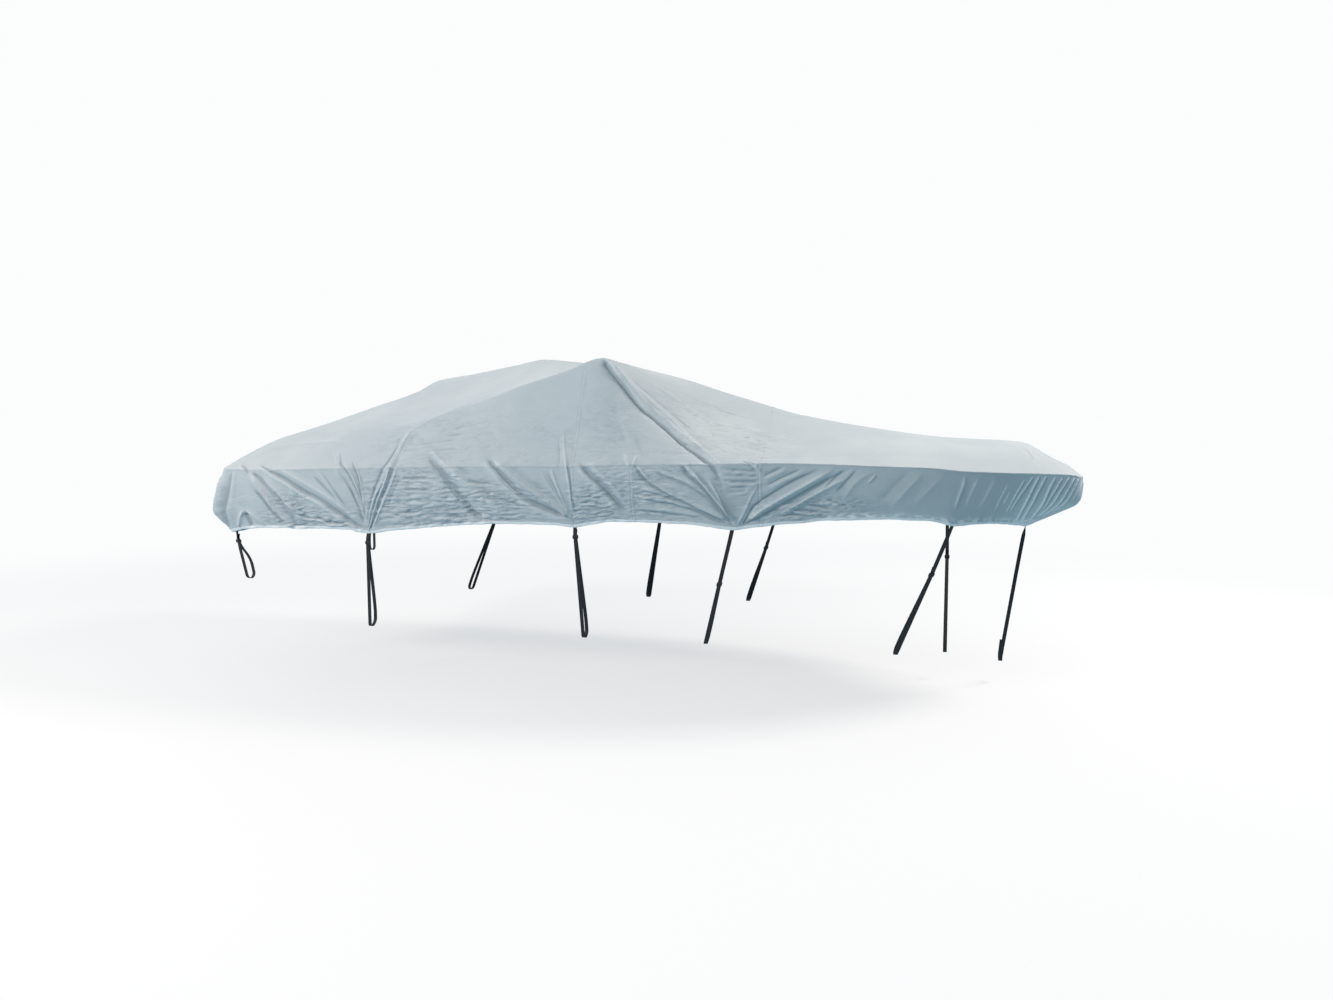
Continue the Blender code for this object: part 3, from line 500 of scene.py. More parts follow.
    (5, 8, 8, -.8, .1, .1, ((3.705, .02), (3.67, .137), (3.66, .24), (3.69, .345))),
    (5, 8, 8, -.8, .1, .1, ((3.742, .025), (3.71, .135), (3.695, .24), (3.72, .33))),
    (5, 8, 8, -.6, .1, .2, ((3.773, .02), (3.74, .145), (3.725, .24), (3.74, .31))),
    (4, 6, 6, -.6, .2, .3, ((3.803, .035), (3.77, .14), (3.76, .22))),
    (5, 6, 7, -.4, .2, .3, ((3.813, .025), (3.806, .13), (3.797, .25))),
    (4, 6, 7, 0, .3, .3, ((3.8178, .05), (3.8165, .17), (3.8155, .3))),
    (-3, 10, 12, .6, .3, .3, ((3.4, -.42), (3.45, -.28), (3.49, -.12))),
    (-3, 9, 12, .6, .3, .3, ((3.46, -.34), (3.56, -.2), (3.66, -.09))),
    (3, 9, 12, 0, .3, .3, ((3.5, -.36), (3.62, -.23), (3.72, -.11))),
    # across the stern, starboard half; the middle is about -3.06
    (-7, 16, 20, .6, .15, .15, ((-2.16, .02), (-2.2, .14), (-2.22, .27), (-2.16, .4))),
    (6, 22, 26, 0, .2, .2, ((-2.26, .01), (-2.34, .13), (-2.36, .27), (-2.28, .41))),
    (-5, 10, 12, .5, .3, .1, ((-2.66, .03), (-2.52, .12), (-2.36, .23), (-2.22, .33), (-2.1, .39))),
    (-4, 9, 12, .5, .3, .1, ((-2.82, .14), (-2.6, .22), (-2.4, .3), (-2.16, .385))),
    (4, 12, 12, 0, .3, .2, ((-2.48, .02), (-2.38, .13), (-2.27, .25), (-2.16, .36))),
    (-3, 10, 12, .5, .3, .2, ((-3.02, .27), (-2.76, .315), (-2.5, .355), (-2.22, .395))),
    (3, 22, 24, 0, .4, .3, ((-2.86, .02), (-2.88, .16), (-2.9, .34))),
)

# The port side hangs in folds of the same kinds. Neighbours move and weaken together, and some are left out.
portFolds = {
    "seed": 11,
    "along": 0.10,
    "down": 0.010,
    "lowest": 0.30,
    "highest": 0.80,
    "alike": 0.35,            # how far neighbours agree in strength
    "loose": 0.3,             # and how far each differs
    "leftOut": 0.15,
    "narrow": 0.90,
    "atStrap": 0.15,          # a fold that ends at a strap moves this share of the way
    "strapDepth": 0.36,
}

# Fine slack creases: side, along, down, reach along, reach down, height mm, length mm, spacing mm
crumpleRows = (
    (-1, -1.3, .36, .42, .09, 5, 110, 32),
    (-1, -1.45, .24, .16, .09, 5, 90, 32),
    (-1, -.45, .2, .42, .2, 6, 150, 38),
    (-1, .05, .27, .4, .14, 6, 140, 36),
    (-1, -.25, .36, .5, .07, 5, 110, 30),
    (-1, .78, .28, .17, .15, 6, 110, 34),
    (-1, .9, .12, .18, .12, 4, 100, 34),
    (-1, 1.2, .3, .24, .11, 5, 120, 32),
    (-1, 1.68, .1, .15, .1, 3, 110, 34),
    (-1, 2.1, .33, .36, .09, 5, 100, 30),
    (-1, 1.2, .1, .28, .09, 4, 130, 34),
    (-1, -.35, -.22, .5, .2, 2.5, 240, 70),
    (-1, .2, -.15, .4, .16, 2, 240, 70),
    (-1, 1.6, -.35, .38, .3, 3.5, 170, 52),
    (-1, 1.25, -.75, .3, .25, 2.5, 170, 56),
    (-1, .8, -.25, .25, .22, 2, 160, 60),
    (-1, -2.5, .28, .5, .16, 4, 180, 60),
    (1, -2.5, .26, .5, .18, 4, 180, 60),
    (1, -1.35, .33, .45, .12, 5, 140, 48),
    (1, -.35, .22, .6, .2, 6, 150, 38),
    (1, .8, .26, .3, .16, 6, 130, 46),
    (1, 1.25, .24, .35, .16, 5, 150, 46),
    (1, 2.05, .3, .4, .12, 5, 130, 44),
    (1, .1, -.25, .8, .25, 2.5, 220, 66),
    (1, 1.5, -.35, .45, .3, 3.2, 180, 56),
)

crumple = {                   # how those turn into cloth
    "seed": 103,
    "share": 0.8,
    "main": 2.4,              # height of the long creases over the short ones
    "bend": 0.022,
    "blunt": 0.0006,
    "faint": 0.02,
    "grow": 1.15,             # the cloth counts as slack this much further out
    "full": 5,                # at this height and over, mm
}

slack = {                     # unevenness that the whole cloth has
    "broad": 0.0040,          # height of the slow swells over the top
    "medium": 0.0012,
    "skirtShare": 0.45,       # share of it on the skirt
    "edgeReach": 0.10,
    "deckCalm": 0.30,         # share of it left on the foredeck, where the cloth lies flat
    "deckStart": 1.9,
    "deckReach": 0.5,
    "seamPucker": 0.0024,
    "seamReach": 0.050,
    "hemPucker": 0.0040,
    "hemReach": 0.055,
    "gunwalePucker": 0.0016,
    "gunwaleReach": 0.030,
    "gunwaleEnd": 3.3,        # none forward of this
    "gunwaleFade": 0.5,
    "fade": 0.06,
    "tipFade": 0.008,
    "turn": 0.030,            # the folds turn the gunwale's corner over this length
    "fullRelief": 0.0060,     # a height that counts as a whole ridge
    "reliefReach": 0.065,
    "topAcross": 4,           # in grid steps
    "skirtAcross": 10,
    "least": 0.12,            # of the fine creases, where the cloth is drawn flat
    "topMost": 0.8,
    "deckPlain": 0.8,         # share of them lost on the foredeck
}

seam = {                      # flat felled seams between the panels
    "band": 0.012,
    "step": 0.0012,
    "rise": 0.003,
    "edgeRise": 0.002,
    "groove": 0.0012,
    "grooveReach": 0.0035,
    "lines": (-0.009, -0.003, 0.0, 0.003, 0.009, 0.0125, 0.016),  # grid lines beside it
}

hem = {                       # a wide hem with a cord rolled into its lower edge
    "band": 0.026,
    "step": 0.0012,
    "rise": 0.004,
    "roll": 0.0048,
    "turn": 310,
    "steps": 9,
    "wave": 0.0035,
    "waveStart": 0.28,
    "waveReach": 0.14,
}

foldForm = {                  # how the drawn folds turn into cloth
    "down": 0.0015,           # metres for each mm drawn
    "up": 0.0019,
    "reach": 0.0050,
    "past": 0.02,             # a fold fades a little past both ends
    "steepness": 1.3,
    "blunt": 0.3,
    "ridge": 0.85,
    "trough": 0.75,
    "steep": 0.60,
    "easy": 1.30,
    "rollAway": 1.9,
    "rollWide": 1.2,
}


def easedPath(path):
    # the path with its corners cut twice; its two ends stay
    points = np.array(path, dtype=float)
    for _ in range(2):
        early = points[:-1] * 0.75 + points[1:] * 0.25
        late = points[:-1] * 0.25 + points[1:] * 0.75
        inner = np.stack([early, late], axis=1).reshape(-1, points.shape[1])
        points = np.concatenate([points[:1], inner[1:-1], points[-1:]])
    return points


def addFold(total, s, t, onSide, row):
    # one fold, as a soft trough or ridge along its path
    _, height, wideStart, wideEnd, beside, fadeStart, fadeEnd, path = row
    points = easedPath(path)
    points[:, 0] = gunwaleRun(points[:, 0])
    reach = foldForm["reach"] * max(wideStart, wideEnd)
    low = points.min(axis=0) - reach
    high = points.max(axis=0) + reach
    chosen = np.nonzero(onSide & (s > low[0]) & (s < high[0]) & (t > low[1]) & (t < high[1]))
    if not len(chosen[0]):
        return
    place = np.stack([s[chosen], t[chosen]], axis=-1)[:, None, :]
    start = points[None, :-1]
    run = points[None, 1:] - start
    length = np.linalg.norm(run, axis=-1)
    held = np.clip(((place - start) * run).sum(-1) / length ** 2, 0, 1)
    off = place - start - run * held[..., None]
    away = np.linalg.norm(off, axis=-1)
    best = away.argmin(axis=1)
    pick = (np.arange(len(best)), best)
    before = np.concatenate([[0], np.cumsum(length[0])[:-1]])
    along = (before[best] + held[pick] * length[0][best]) / length.sum()
    turn = run[0][best, 0] * off[pick][:, 1] - run[0][best, 1] * off[pick][:, 0]
    signed = away[pick] * np.sign(turn)
    wide = 0.001 * (wideStart + (wideEnd - wideStart) * along)
    fade = smoothStep((along + foldForm["past"]) / fadeStart)
    fade = fade * smoothStep((1 + foldForm["past"] - along) / fadeEnd)
    spread = foldForm["ridge"] if height > 0 else foldForm["trough"]
    if height < 0 and beside:
        # a trough is steep on the side of its roll and eases out on the other
        spread = np.where(signed * beside >= 0, foldForm["steep"], foldForm["easy"])
    blunt = foldForm["blunt"]
    shape = np.exp(-foldForm["steepness"] * (np.sqrt((signed / (wide * spread)) ** 2 + blunt ** 2) - blunt))
    if beside:
        shift = wide * foldForm["rollAway"] * np.sign(beside)
        shape = shape - abs(beside) * bell(signed - shift, wide * foldForm["rollWide"])
    total[chosen] += foldForm["down" if height < 0 else "up"] * height * fade * shape


def fieldAt(place, scale, seed):
    return wander(*[np.array([value * by]) for value, by in zip(place, scale)], seed)[0]


def sideFolds():
    # the folds as drawn to starboard, then those to port
    rows = [(-1, *row) for row in foldRows]
    rng = np.random.default_rng(portFolds["seed"])
    for height, *wide, beside, fadeStart, fadeEnd, points in foldRows:
        path = np.array(points, dtype=float)
        middle = path.mean(axis=0)
        draw = rng.random(2)
        if draw[0] < portFolds["leftOut"]:
            continue
        here = fieldAt(middle, (1.1, 1.5), 41)
        there = fieldAt(middle, (0.9, 0.8), 42)
        strength = np.clip(0.5 + portFolds["alike"] * here + portFolds["loose"] * (draw[1] - 0.5), 0, 1)
        strength = portFolds["lowest"] + (portFolds["highest"] - portFolds["lowest"]) * strength
        atStrap = max(abs(path[0, 1]), abs(path[-1, 1])) > portFolds["strapDepth"]
        path[:, 0] += portFolds["along"] * there * (portFolds["atStrap"] if atStrap else 1.0)
        path[:, 1] += portFolds["down"] * here * (path[:, 1] > 0.05)
        wide = [value * portFolds["narrow"] for value in wide]
        rows.append((1, height * strength, *wide, beside, fadeStart, fadeEnd, path))
    return rows


def crumpleMask(s, t, side, row, grow=1.0):
    where, atS, atT, reachS, reachT = row[:5]
    away = ((s - atS) / (reachS * grow)) ** 4 + ((t - atT) / (reachT * grow)) ** 4
    return np.exp(-away) * (side == where)


def crumpleHeight(s, t, side, ring):
    total = np.zeros_like(s)
    for index, row in enumerate(crumpleRows):
        seed = crumple["seed"] + 3 * index
        height, long, wide = row[5:]
        mask = crumpleMask(s, t, side, row)
        chosen = mask > crumple["faint"]
        if not chosen.any():
            continue
        u = ring[chosen]
        v = t[chosen]
        bend = wander(u * 3.1, v * 5.3, seed) * crumple["bend"]
        first = wander(u * 1000 / long, (v + bend) * 1000 / wide, seed + 1)
        second = wander(u * 1900 / long + 7, (v + bend * 0.6) * 1900 / wide, seed + 2)
        first, second = [np.sqrt(value ** 2 + crumple["blunt"]) for value in (first, second)]
        crease = crumple["main"] * first + second - 1
        total[chosen] += 0.001 * height * crumple["share"] * mask[chosen] * crease
    return total


def crumpleShare(s, t, side):
    # where the cloth is slack enough to hold fine creases
    grow, full = crumple["grow"], crumple["full"]
    shares = [crumpleMask(s, t, side, row, grow) * min(row[5] / full, 1) for row in crumpleRows]
    return np.maximum.reduce(shares)


def seamDistance(s, t):
    # signed distance along the cloth from the nearest cross seam
    aft = s - cut["seamAft"]
    fore = s - cut["seamFore"]
    away = np.where(np.abs(fore) < np.abs(aft), fore, aft)
    short = s - cut["seamShort"]
    return np.where((t >= 0) & (np.abs(short) < np.abs(away)), short, away)


def liftCloth(s, t, side, ring, middle, onSkirt, rows):
    # how far every point stands off the plain surface
    total = np.zeros_like(s)
    run = gunwaleRun(s)
    for row in rows:
        addFold(total, run, t, side == row[0], row)
    total += crumpleHeight(s, t, side, ring)
    onTop = smoothStep(-t / slack["edgeReach"])
    calm = 1 - (1 - slack["deckCalm"]) * smoothStep((s - slack["deckStart"]) / slack["deckReach"])
    swell = slack["broad"] * wander(ring * 1.7, t * 2.6, 1) + slack["medium"] * wander(ring * 6.1, t * 8.3, 2)
    total += swell * (slack["skirtShare"] + (1 - slack["skirtShare"]) * onTop) * calm * middle
    away = seamDistance(s, t)
    total += slack["seamPucker"] * bell(away, slack["seamReach"]) * wander(s * 11, t * 27, 3) * middle
    edge = slack["gunwalePucker"] * bell(t, slack["gunwaleReach"])
    edge = edge * smoothStep((slack["gunwaleEnd"] - s) / slack["gunwaleFade"])
    total += edge * wander(ring * 24, t * 12, 4)
    rise = seam["rise"]
    band = smoothStep(away / rise) * smoothStep((seam["band"] + rise - away) / rise)
    total += seam["step"] * band - seam["groove"] * bell(away, seam["grooveReach"])
    if onSkirt:
        low = smoothStep((cut["drop"] - t) / slack["hemReach"])
        uneven = 0.55 + 0.45 * wander(ring * 2.3, t * 0 + 0.5, 6)
        total += slack["hemPucker"] * (1 - low) * wander(ring * 21, t * 9, 5) * uneven
        total += hem["step"] * smoothStep((t - (cut["drop"] - hem["band"])) / hem["rise"])
        total += seam["step"] * smoothStep((seam["band"] - t) / rise) * smoothStep(t / seam["edgeRise"])
    fade = np.clip(np.maximum(t, s - cut["stern"]) / slack["fade"], 0, 1)
    fade = np.where(s < cut["stern"], np.clip(t / slack["fade"], 0, 1), fade)
    fade = fade * np.clip((cut["bowTip"] - s) / slack["tipFade"], 0, 1) ** 0.5
    return total * fade


def clothStations():
    # places along the gunwale, even along its own curve, with close ones at the seams
    x = cut["stern"] + sideLong * (1 - np.cos(np.linspace(0, np.pi, 8001))) / 2
    run = np.concatenate([[0], np.cumsum(np.hypot(np.diff(x), np.diff(halfBreadth(x))))])
    count = int(round(run[-1] / cut["cell"]))
    even = np.interp(np.linspace(0, run[-1], count + 1), run, x)
    close = [cut[key] + off for key in ("seamAft", "seamShort", "seamFore") for off in seam["lines"]]
    keep = [value for value in even if min(abs(value - other) for other in close) > cut["cell"] * 0.45]
    return np.array(sorted(keep + close))


def crossNormals(points):
    return unit(np.cross(np.gradient(points, axis=0), np.gradient(points, axis=1)))


def reliefOf(lift, reachAlong, reachDown):
    # ridges near 1 and troughs near -1, judged against the cloth around them
    total = lift
    for axis, reach in ((0, reachAlong), (1, reachDown)):
        pad = [(reach + 1, reach) if k == axis else (0, 0) for k in (0, 1)]
        run = np.cumsum(np.pad(total, pad, mode="edge"), axis=axis)
        size = total.shape[axis]
        after = np.take(run, np.arange(2 * reach + 1, 2 * reach + 1 + size), axis=axis)
        total = (after - np.take(run, np.arange(size), axis=axis)) / (2 * reach + 1)
    return np.clip((lift - total) / slack["fullRelief"], -1, 1)


def meshOf(bm, name):
    mesh = bpy.data.meshes.new(name)
    bm.to_mesh(mesh)
    bm.free()
    return mesh


def opened(mesh):
    bm = bmesh.new()
    bm.from_mesh(mesh)
    bm.verts.ensure_lookup_table()
    return bm


def placed(name, data):
    holder = bpy.data.objects.new(name, data)
    bpy.context.scene.collection.objects.link(holder)
    return holder


def solidSheet(name, points, normals, uv, masks, materials, thick, closeTip=False, most=0):
    # a sheet of cloth: a grid moved to its place, then given its thickness inwards
    rows, columns = points.shape[:2]
    bm = bmesh.new()
    bmesh.ops.create_grid(bm, x_segments=columns - 1, y_segments=rows - 1, size=1)
    mesh = meshOf(bm, name)
    mesh.vertices.foreach_set("co", points.reshape(-1).astype(np.float32))
    corner = np.empty(len(mesh.loops), dtype=np.int32)
    mesh.loops.foreach_get("vertex_index", corner)
    layer = mesh.uv_layers.new(name="cloth")
    layer.uv.foreach_set("vector", uv.reshape(-1, 2)[corner].reshape(-1).astype(np.float32))
    for key, values in masks.items():
        layer = mesh.attributes.new(key, "FLOAT", "POINT")
        layer.data.foreach_set("value", values.reshape(-1).astype(np.float32))
    bm = opened(mesh)
    if closeTip:
        bmesh.ops.remove_doubles(bm, verts=bm.verts[-2 * columns:], dist=0.00005)
    bm.normal_update()
    bm.verts.ensure_lookup_table()
    middle = bm.verts[(rows // 2) * columns + columns // 2]
    if middle.normal.dot(Vector(normals[rows // 2, columns // 2])) < 0:
        bmesh.ops.reverse_faces(bm, faces=bm.faces)
    for face in bm.faces:
        face.smooth = True
    bm.to_mesh(mesh)
    bm.free()
    piece = placed(name, mesh)
    if most and 2 * len(mesh.polygons) > most:
        thin = piece.modifiers.new("evenDetail", "DECIMATE")
        thin.ratio = most / (2 * len(mesh.polygons))
        depsgraph = bpy.context.evaluated_depsgraph_get()
        ready = bpy.data.meshes.new_from_object(piece.evaluated_get(depsgraph))
        piece.modifiers.clear()
        piece.data = ready
        ready.name = name
        bpy.data.meshes.remove(mesh)
        mesh = ready
    bm = opened(mesh)
    for edge in bm.edges:
        edge.smooth = not edge.is_boundary
    bm.to_mesh(mesh)
    bm.free()
    for material in materials:
        mesh.materials.append(material)
    wall = piece.modifiers.new("thickness", "SOLIDIFY")
    wall.thickness = thick
    wall.offset = -1
    wall.use_quality_normals = True
    wall.material_offset = len(materials) - 1
    return piece


# Nodes are added to the tree on the bench, which is that of the finish being made.
bench = {}


def addNode(kind, **settings):
    node = bench["tree"].nodes.new(kind)
    for key, value in settings.items():
        setattr(node, key, value)
    return node


def feed(target, value):
    if isinstance(value, bpy.types.NodeSocket):
        bench["tree"].links.new(value, target)
    else:
        target.default_value = value


def calc(operation, *values):
    node = addNode("ShaderNodeMath", operation=operation)
    for target, value in zip(node.inputs, values):
        feed(target, value)
    return node.outputs[0]


def times(first, second):
    return calc("MULTIPLY", first, second)


def plus(first, second):
    return calc("ADD", first, second)


def less(first, second):
    return calc("SUBTRACT", first, second)


def sizeOf(value):
    return calc("ABSOLUTE", value)


def blendColour(share, first, second):
    node = addNode("ShaderNodeMix", data_type="RGBA", blend_type="MIX")
    feed(node.inputs[0], share)
    feed(node.inputs[6], first)
    feed(node.inputs[7], second)
    return node.outputs[2]


def between(value, low, high):
    # 0 below low, 1 above high, smooth between
    node = addNode("ShaderNodeMapRange", interpolation_type="SMOOTHSTEP")
    feed(node.inputs["Value"], value)
    feed(node.inputs["From Min"], low)
    feed(node.inputs["From Max"], high)
    return node.outputs["Result"]


def noiseOf(vector, scale, detail, rough=0.55, distort=0.0):
    node = addNode("ShaderNodeTexNoise")
    for key, value in (("Vector", vector), ("Scale", scale), ("Detail", detail),
                       ("Roughness", rough), ("Distortion", distort)):
        feed(node.inputs[key], value)
    return node.outputs["Fac"]


def scaled(vector, x, y, z=1.0):
    node = addNode("ShaderNodeMapping")
    feed(node.inputs["Vector"], vector)
    feed(node.inputs["Scale"], (x, y, z))
    return node.outputs["Vector"]


def partsOf(vector):
    node = addNode("ShaderNodeSeparateXYZ")
    feed(node.inputs[0], vector)
    return node.outputs


def openGroup(name, takes, gives):
    # the sockets that it takes, and those that it gives
    tree = bpy.data.node_groups.new(name, "ShaderNodeTree")
    for labels, way in ((takes, "INPUT"), (gives, "OUTPUT")):
        for label in labels:
            kind = "NodeSocketVector" if label == "Vector" else "NodeSocketFloat"
            tree.interface.new_socket(label, in_out=way, socket_type=kind)
    bench["tree"] = tree
    return tree, addNode("NodeGroupInput").outputs, addNode("NodeGroupOutput").inputs


def useGroup(group, **values):
    node = addNode("ShaderNodeGroup", node_tree=group)
    for key, value in values.items():
        feed(node.inputs[key], value)
    return node.outputs


def buildWeave():
    # crossing threads, with the slubs and thin places of real yarn
    group, took, gave = openGroup("wovenThreads", ("Vector", "Threads"), ("Height", "Yarn"))
    across, along, _ = partsOf(took["Vector"])
    turn = times(took["Threads"], np.pi)
    warp = calc("SINE", times(across, turn))
    weft = calc("SINE", times(along, turn))
    feed(gave["Height"], times(warp, weft))
    long = noiseOf(scaled(took["Vector"], 30, 900), 1.0, 2.0)
    tall = noiseOf(scaled(took["Vector"], 900, 30), 1.0, 2.0)
    feed(gave["Yarn"], times(plus(long, tall), 0.5))
    return group


stitch = {                    # where each mask begins and is full
    "dash": (0.42, 0.32),     # from the middle of a stitch, as a share of its pitch
    "thread": (0.0007, 0.0003),
    "dip": (0.0030, 0.0004),
}


def buildStitches():
    # one row of stitching: dashes along it, a thread's width across
    group, took, gave = openGroup("stitchRow", ("Along", "Away", "Pitch"), ("Thread", "Dip"))
    step = calc("FRACT", calc("DIVIDE", took["Along"], took["Pitch"]))
    dash = between(sizeOf(less(step, 0.5)), *stitch["dash"])
    size = sizeOf(took["Away"])
    feed(gave["Thread"], times(dash, between(size, *stitch["thread"])))
    feed(gave["Dip"], between(size, *stitch["dip"]))
    return group


def buildDust():
    # dull patches of dust and rain marks
    group, took, gave = openGroup("weathering", ("Vector", "Scale"), ("Patches", "Specks"))
    broad = noiseOf(took["Vector"], took["Scale"], 5.0, 0.62, 0.4)
    feed(gave["Patches"], between(broad, 0.38, 0.70))
    fine = noiseOf(took["Vector"], times(took["Scale"], 23.0), 3.0, 0.6)
    feed(gave["Specks"], between(fine, 0.56, 0.74))
    return group


weaveGroup = buildWeave()
stitchGroup = buildStitches()
dustGroup = buildDust()

canvas = {                    # solution-dyed polyester
    "colour": (0.440, 0.488, 0.512, 1),
    "faded": (0.500, 0.540, 0.555, 1),
    # darker: yarn and dust, and also painted shade in troughs, crease valleys and stitch grooves
    "deep": (0.275, 0.330, 0.360, 1),
    # pale: rubbed wear, and also painted highlight on ridges, bow crests and the rolled edge
    "wornAndHighlight": (0.830, 0.850, 0.855, 1),
    "thread": (0.560, 0.600, 0.620, 1),
    "lining": (0.36, 0.385, 0.40, 1),
    "liningRough": 0.5,
    "rough": 0.74,
    "sheen": 0.12,
    "sheenRough": 0.5,
    "specular": 0.35,
    "threads": 1300,          # a metre
    "weaveHeight": 0.00006,
    "crinkleHeight": 0.0011,
    "creaseHeight": 0.0038,   # the fine slack creases
    "mottleHeight": 0.0009,
    "dipHeight": -0.0003,
    "threadHeight": 0.0006,
    "stitchPitch": 0.0045,
    "stitchLines": (0.003, 0.010),  # from the seam
    "hemLine": 0.021,               # from the lower edge
}

webbing = {
    "colour": (0.009, 0.009, 0.011, 1),
    "fuzz": (0.030, 0.030, 0.034, 1),
    "sheen": 0.08,
    "wide": 0.025,
    "thick": 0.002,
    "ribs": 560,
    "ribHeight": 0.00025,
    "ribWide": 0.0042,
    "edge": (0.0100, 0.0122),       # the frayed edge, from the middle line
    "rough": 0.50,
    "weaveHeight": 0.00012,
}

buckle = {
    "colour": (0.020, 0.020, 0.022, 1),
    "rubbed": (0.060, 0.060, 0.062, 1),
    "rough": 0.36,
    "grainHeight": 0.00006,
    "wide": 0.036,
    "tall": 0.024,
    "deep": 0.0169,
    "bar": 0.004,
    "run": 0.030,
    "pitch": 0.0065,
    "corner": 0.0035,
    "edge": 0.0006,
    "ribs": (-0.0075, -0.0027, 0.0021, 0.0069),
    "ribHalf": 0.0009,
    "ribHeight": 0.0011,
}


def creaseOf(value):
    # sharp creases where a noise passes through its middle, with puffed cloth between them
    return less(times(sizeOf(less(value, 0.5)), 5.0), 1.0)


def newMaterial(name):
    material = bpy.data.materials.new(name)
    material.use_nodes = True
    bench["tree"] = material.node_tree
    return material, material.node_tree.nodes["Principled BSDF"].inputs


def attributeOf(name):
    return addNode("ShaderNodeAttribute", attribute_name=name).outputs["Fac"]


def objectPlace():
    return addNode("ShaderNodeTexCoord").outputs["Object"]


def clothPlace():
    return addNode("ShaderNodeUVMap", uv_map="cloth").outputs[0]


def feedHeight(shader, height):
    raised = addNode("ShaderNodeBump")
    feed(raised.inputs["Distance"], 1.0)
    feed(raised.inputs["Height"], height)
    feed(shader["Normal"], raised.outputs[0])


def buildCanvas():
    material, shader = newMaterial("coverCanvas")
    uv = clothPlace()
    run, fall, _ = partsOf(uv)
    relief = attributeOf("relief")
    fromSeam = attributeOf("crossSeam")
    fromGunwale = attributeOf("edgeSeam")
    fromHem = attributeOf("aboveHem")
    dust = useGroup(dustGroup, Vector=objectPlace(), Scale=1.6)
    weave = useGroup(weaveGroup, Vector=uv, Threads=canvas["threads"])
    patch = between(noiseOf(scaled(uv, 4, 8), 1.0, 2.0), 0.38, 0.60)
    slackHere = times(attributeOf("slack"), plus(0.3, times(patch, 0.7)))
    long = creaseOf(noiseOf(scaled(uv, 7, 26), 1.0, 3.0, 0.5, 0.9))
    short = creaseOf(noiseOf(scaled(uv, 24, 46), 1.0, 2.0, 0.5, 0.5))
    grain = noiseOf(scaled(uv, 60, 60), 1.0, 4.0, 0.7)
    mottle = noiseOf(scaled(uv, 16, 19), 1.0, 4.0, 0.6, 0.4)
    lines = [(way, away, place) for way, away in ((fall, fromSeam), (run, fromGunwale))
             for place in canvas["stitchLines"]]
    lines.append((run, fromHem, canvas["hemLine"]))
    thread = dip = 0.0
    for way, away, place in lines:
        row = useGroup(stitchGroup, Along=way, Away=less(away, place), Pitch=canvas["stitchPitch"])
        thread = calc("MAXIMUM", thread, row["Thread"])
        dip = calc("MAXIMUM", dip, row["Dip"])
    yarn = between(weave["Yarn"], 0.30, 0.70)
    colour = blendColour(dust["Patches"], canvas["colour"], canvas["faded"])
    for mask, share, paint in (
            (between(times(relief, -1.0), 0.10, 0.95), 0.75, "deep"),        # shaded troughs
            (times(between(long, -0.74, -0.98), slackHere), 0.65, "deep"),   # painted shade in the fine crease valleys
            # painted highlight on the ridges, broken by grain, partly rubbed wear
            (times(between(relief, 0.25, 1.0), between(grain, 0.30, 0.62)), 0.22, "wornAndHighlight"),
            # rubbed wear at the bow and hem, with painted highlight on the bow's crests
            (times(attributeOf("wearAndHighlight"), between(grain, 0.22, 0.52)), 1.0, "wornAndHighlight"),
            (between(fromHem, 0.019, 0.014), 0.9, "wornAndHighlight"),                   # painted highlight along the rolled edge, with some rubbed wear
            (yarn, 0.10, "deep"),
            (dust["Specks"], 0.10, "deep"),
            # painted shade in the grooves along the stitch lines
            (dip, 0.06, "deep"),
            (thread, 1.0, "thread")):
        colour = blendColour(times(mask, share), colour, canvas[paint])
    feed(shader["Base Color"], colour)
    feed(shader["Roughness"], less(plus(canvas["rough"], times(dust["Patches"], 0.10)), times(yarn, 0.08)))
    feed(shader["Sheen Weight"], canvas["sheen"])
    feed(shader["Sheen Roughness"], canvas["sheenRough"])
    feed(shader["Specular IOR Level"], canvas["specular"])
    height = plus(times(long, canvas["creaseHeight"]), times(short, canvas["crinkleHeight"]))
    height = times(height, slackHere)
    for value, size in ((mottle, "mottleHeight"), (weave["Height"], "weaveHeight"), (dip, "dipHeight"),
                        (thread, "threadHeight")):
        height = plus(height, times(value, canvas[size]))
    feedHeight(shader, height)
    return material


def buildLining():
    # the coated inner face
    material, shader = newMaterial("coverLining")
    dust = useGroup(dustGroup, Vector=objectPlace(), Scale=2.3)
    weave = useGroup(weaveGroup, Vector=clothPlace(), Threads=canvas["threads"])
    colour = blendColour(dust["Patches"], canvas["lining"], canvas["deep"])
    feed(shader["Base Color"], blendColour(times(weave["Yarn"], 0.2), colour, canvas["colour"]))
    feed(shader["Roughness"], plus(canvas["liningRough"], times(dust["Patches"], 0.2)))
    feedHeight(shader, times(weave["Height"], canvas["weaveHeight"] * 0.6))
    return material


def buildWebbing():
    material, shader = newMaterial("strapWebbing")
    uv = clothPlace()
    across = partsOf(uv)[0]
    weave = useGroup(weaveGroup, Vector=uv, Threads=webbing["ribs"])
    rib = sizeOf(calc("SINE", times(across, np.pi / webbing["ribWide"])))
    side = between(sizeOf(across), *webbing["edge"])
    fuzz = noiseOf(scaled(uv, 700, 160), 1.0, 4.0, 0.7)
    lint = times(between(fuzz, 0.45, 0.75), plus(0.45, times(side, 0.5)))
    feed(shader["Base Color"], blendColour(lint, webbing["colour"], webbing["fuzz"]))
    feed(shader["Roughness"], plus(webbing["rough"], times(fuzz, 0.35)))
    feed(shader["Sheen Weight"], webbing["sheen"])
    feedHeight(shader, plus(times(weave["Height"], webbing["weaveHeight"]), times(rib, webbing["ribHeight"])))
    return material


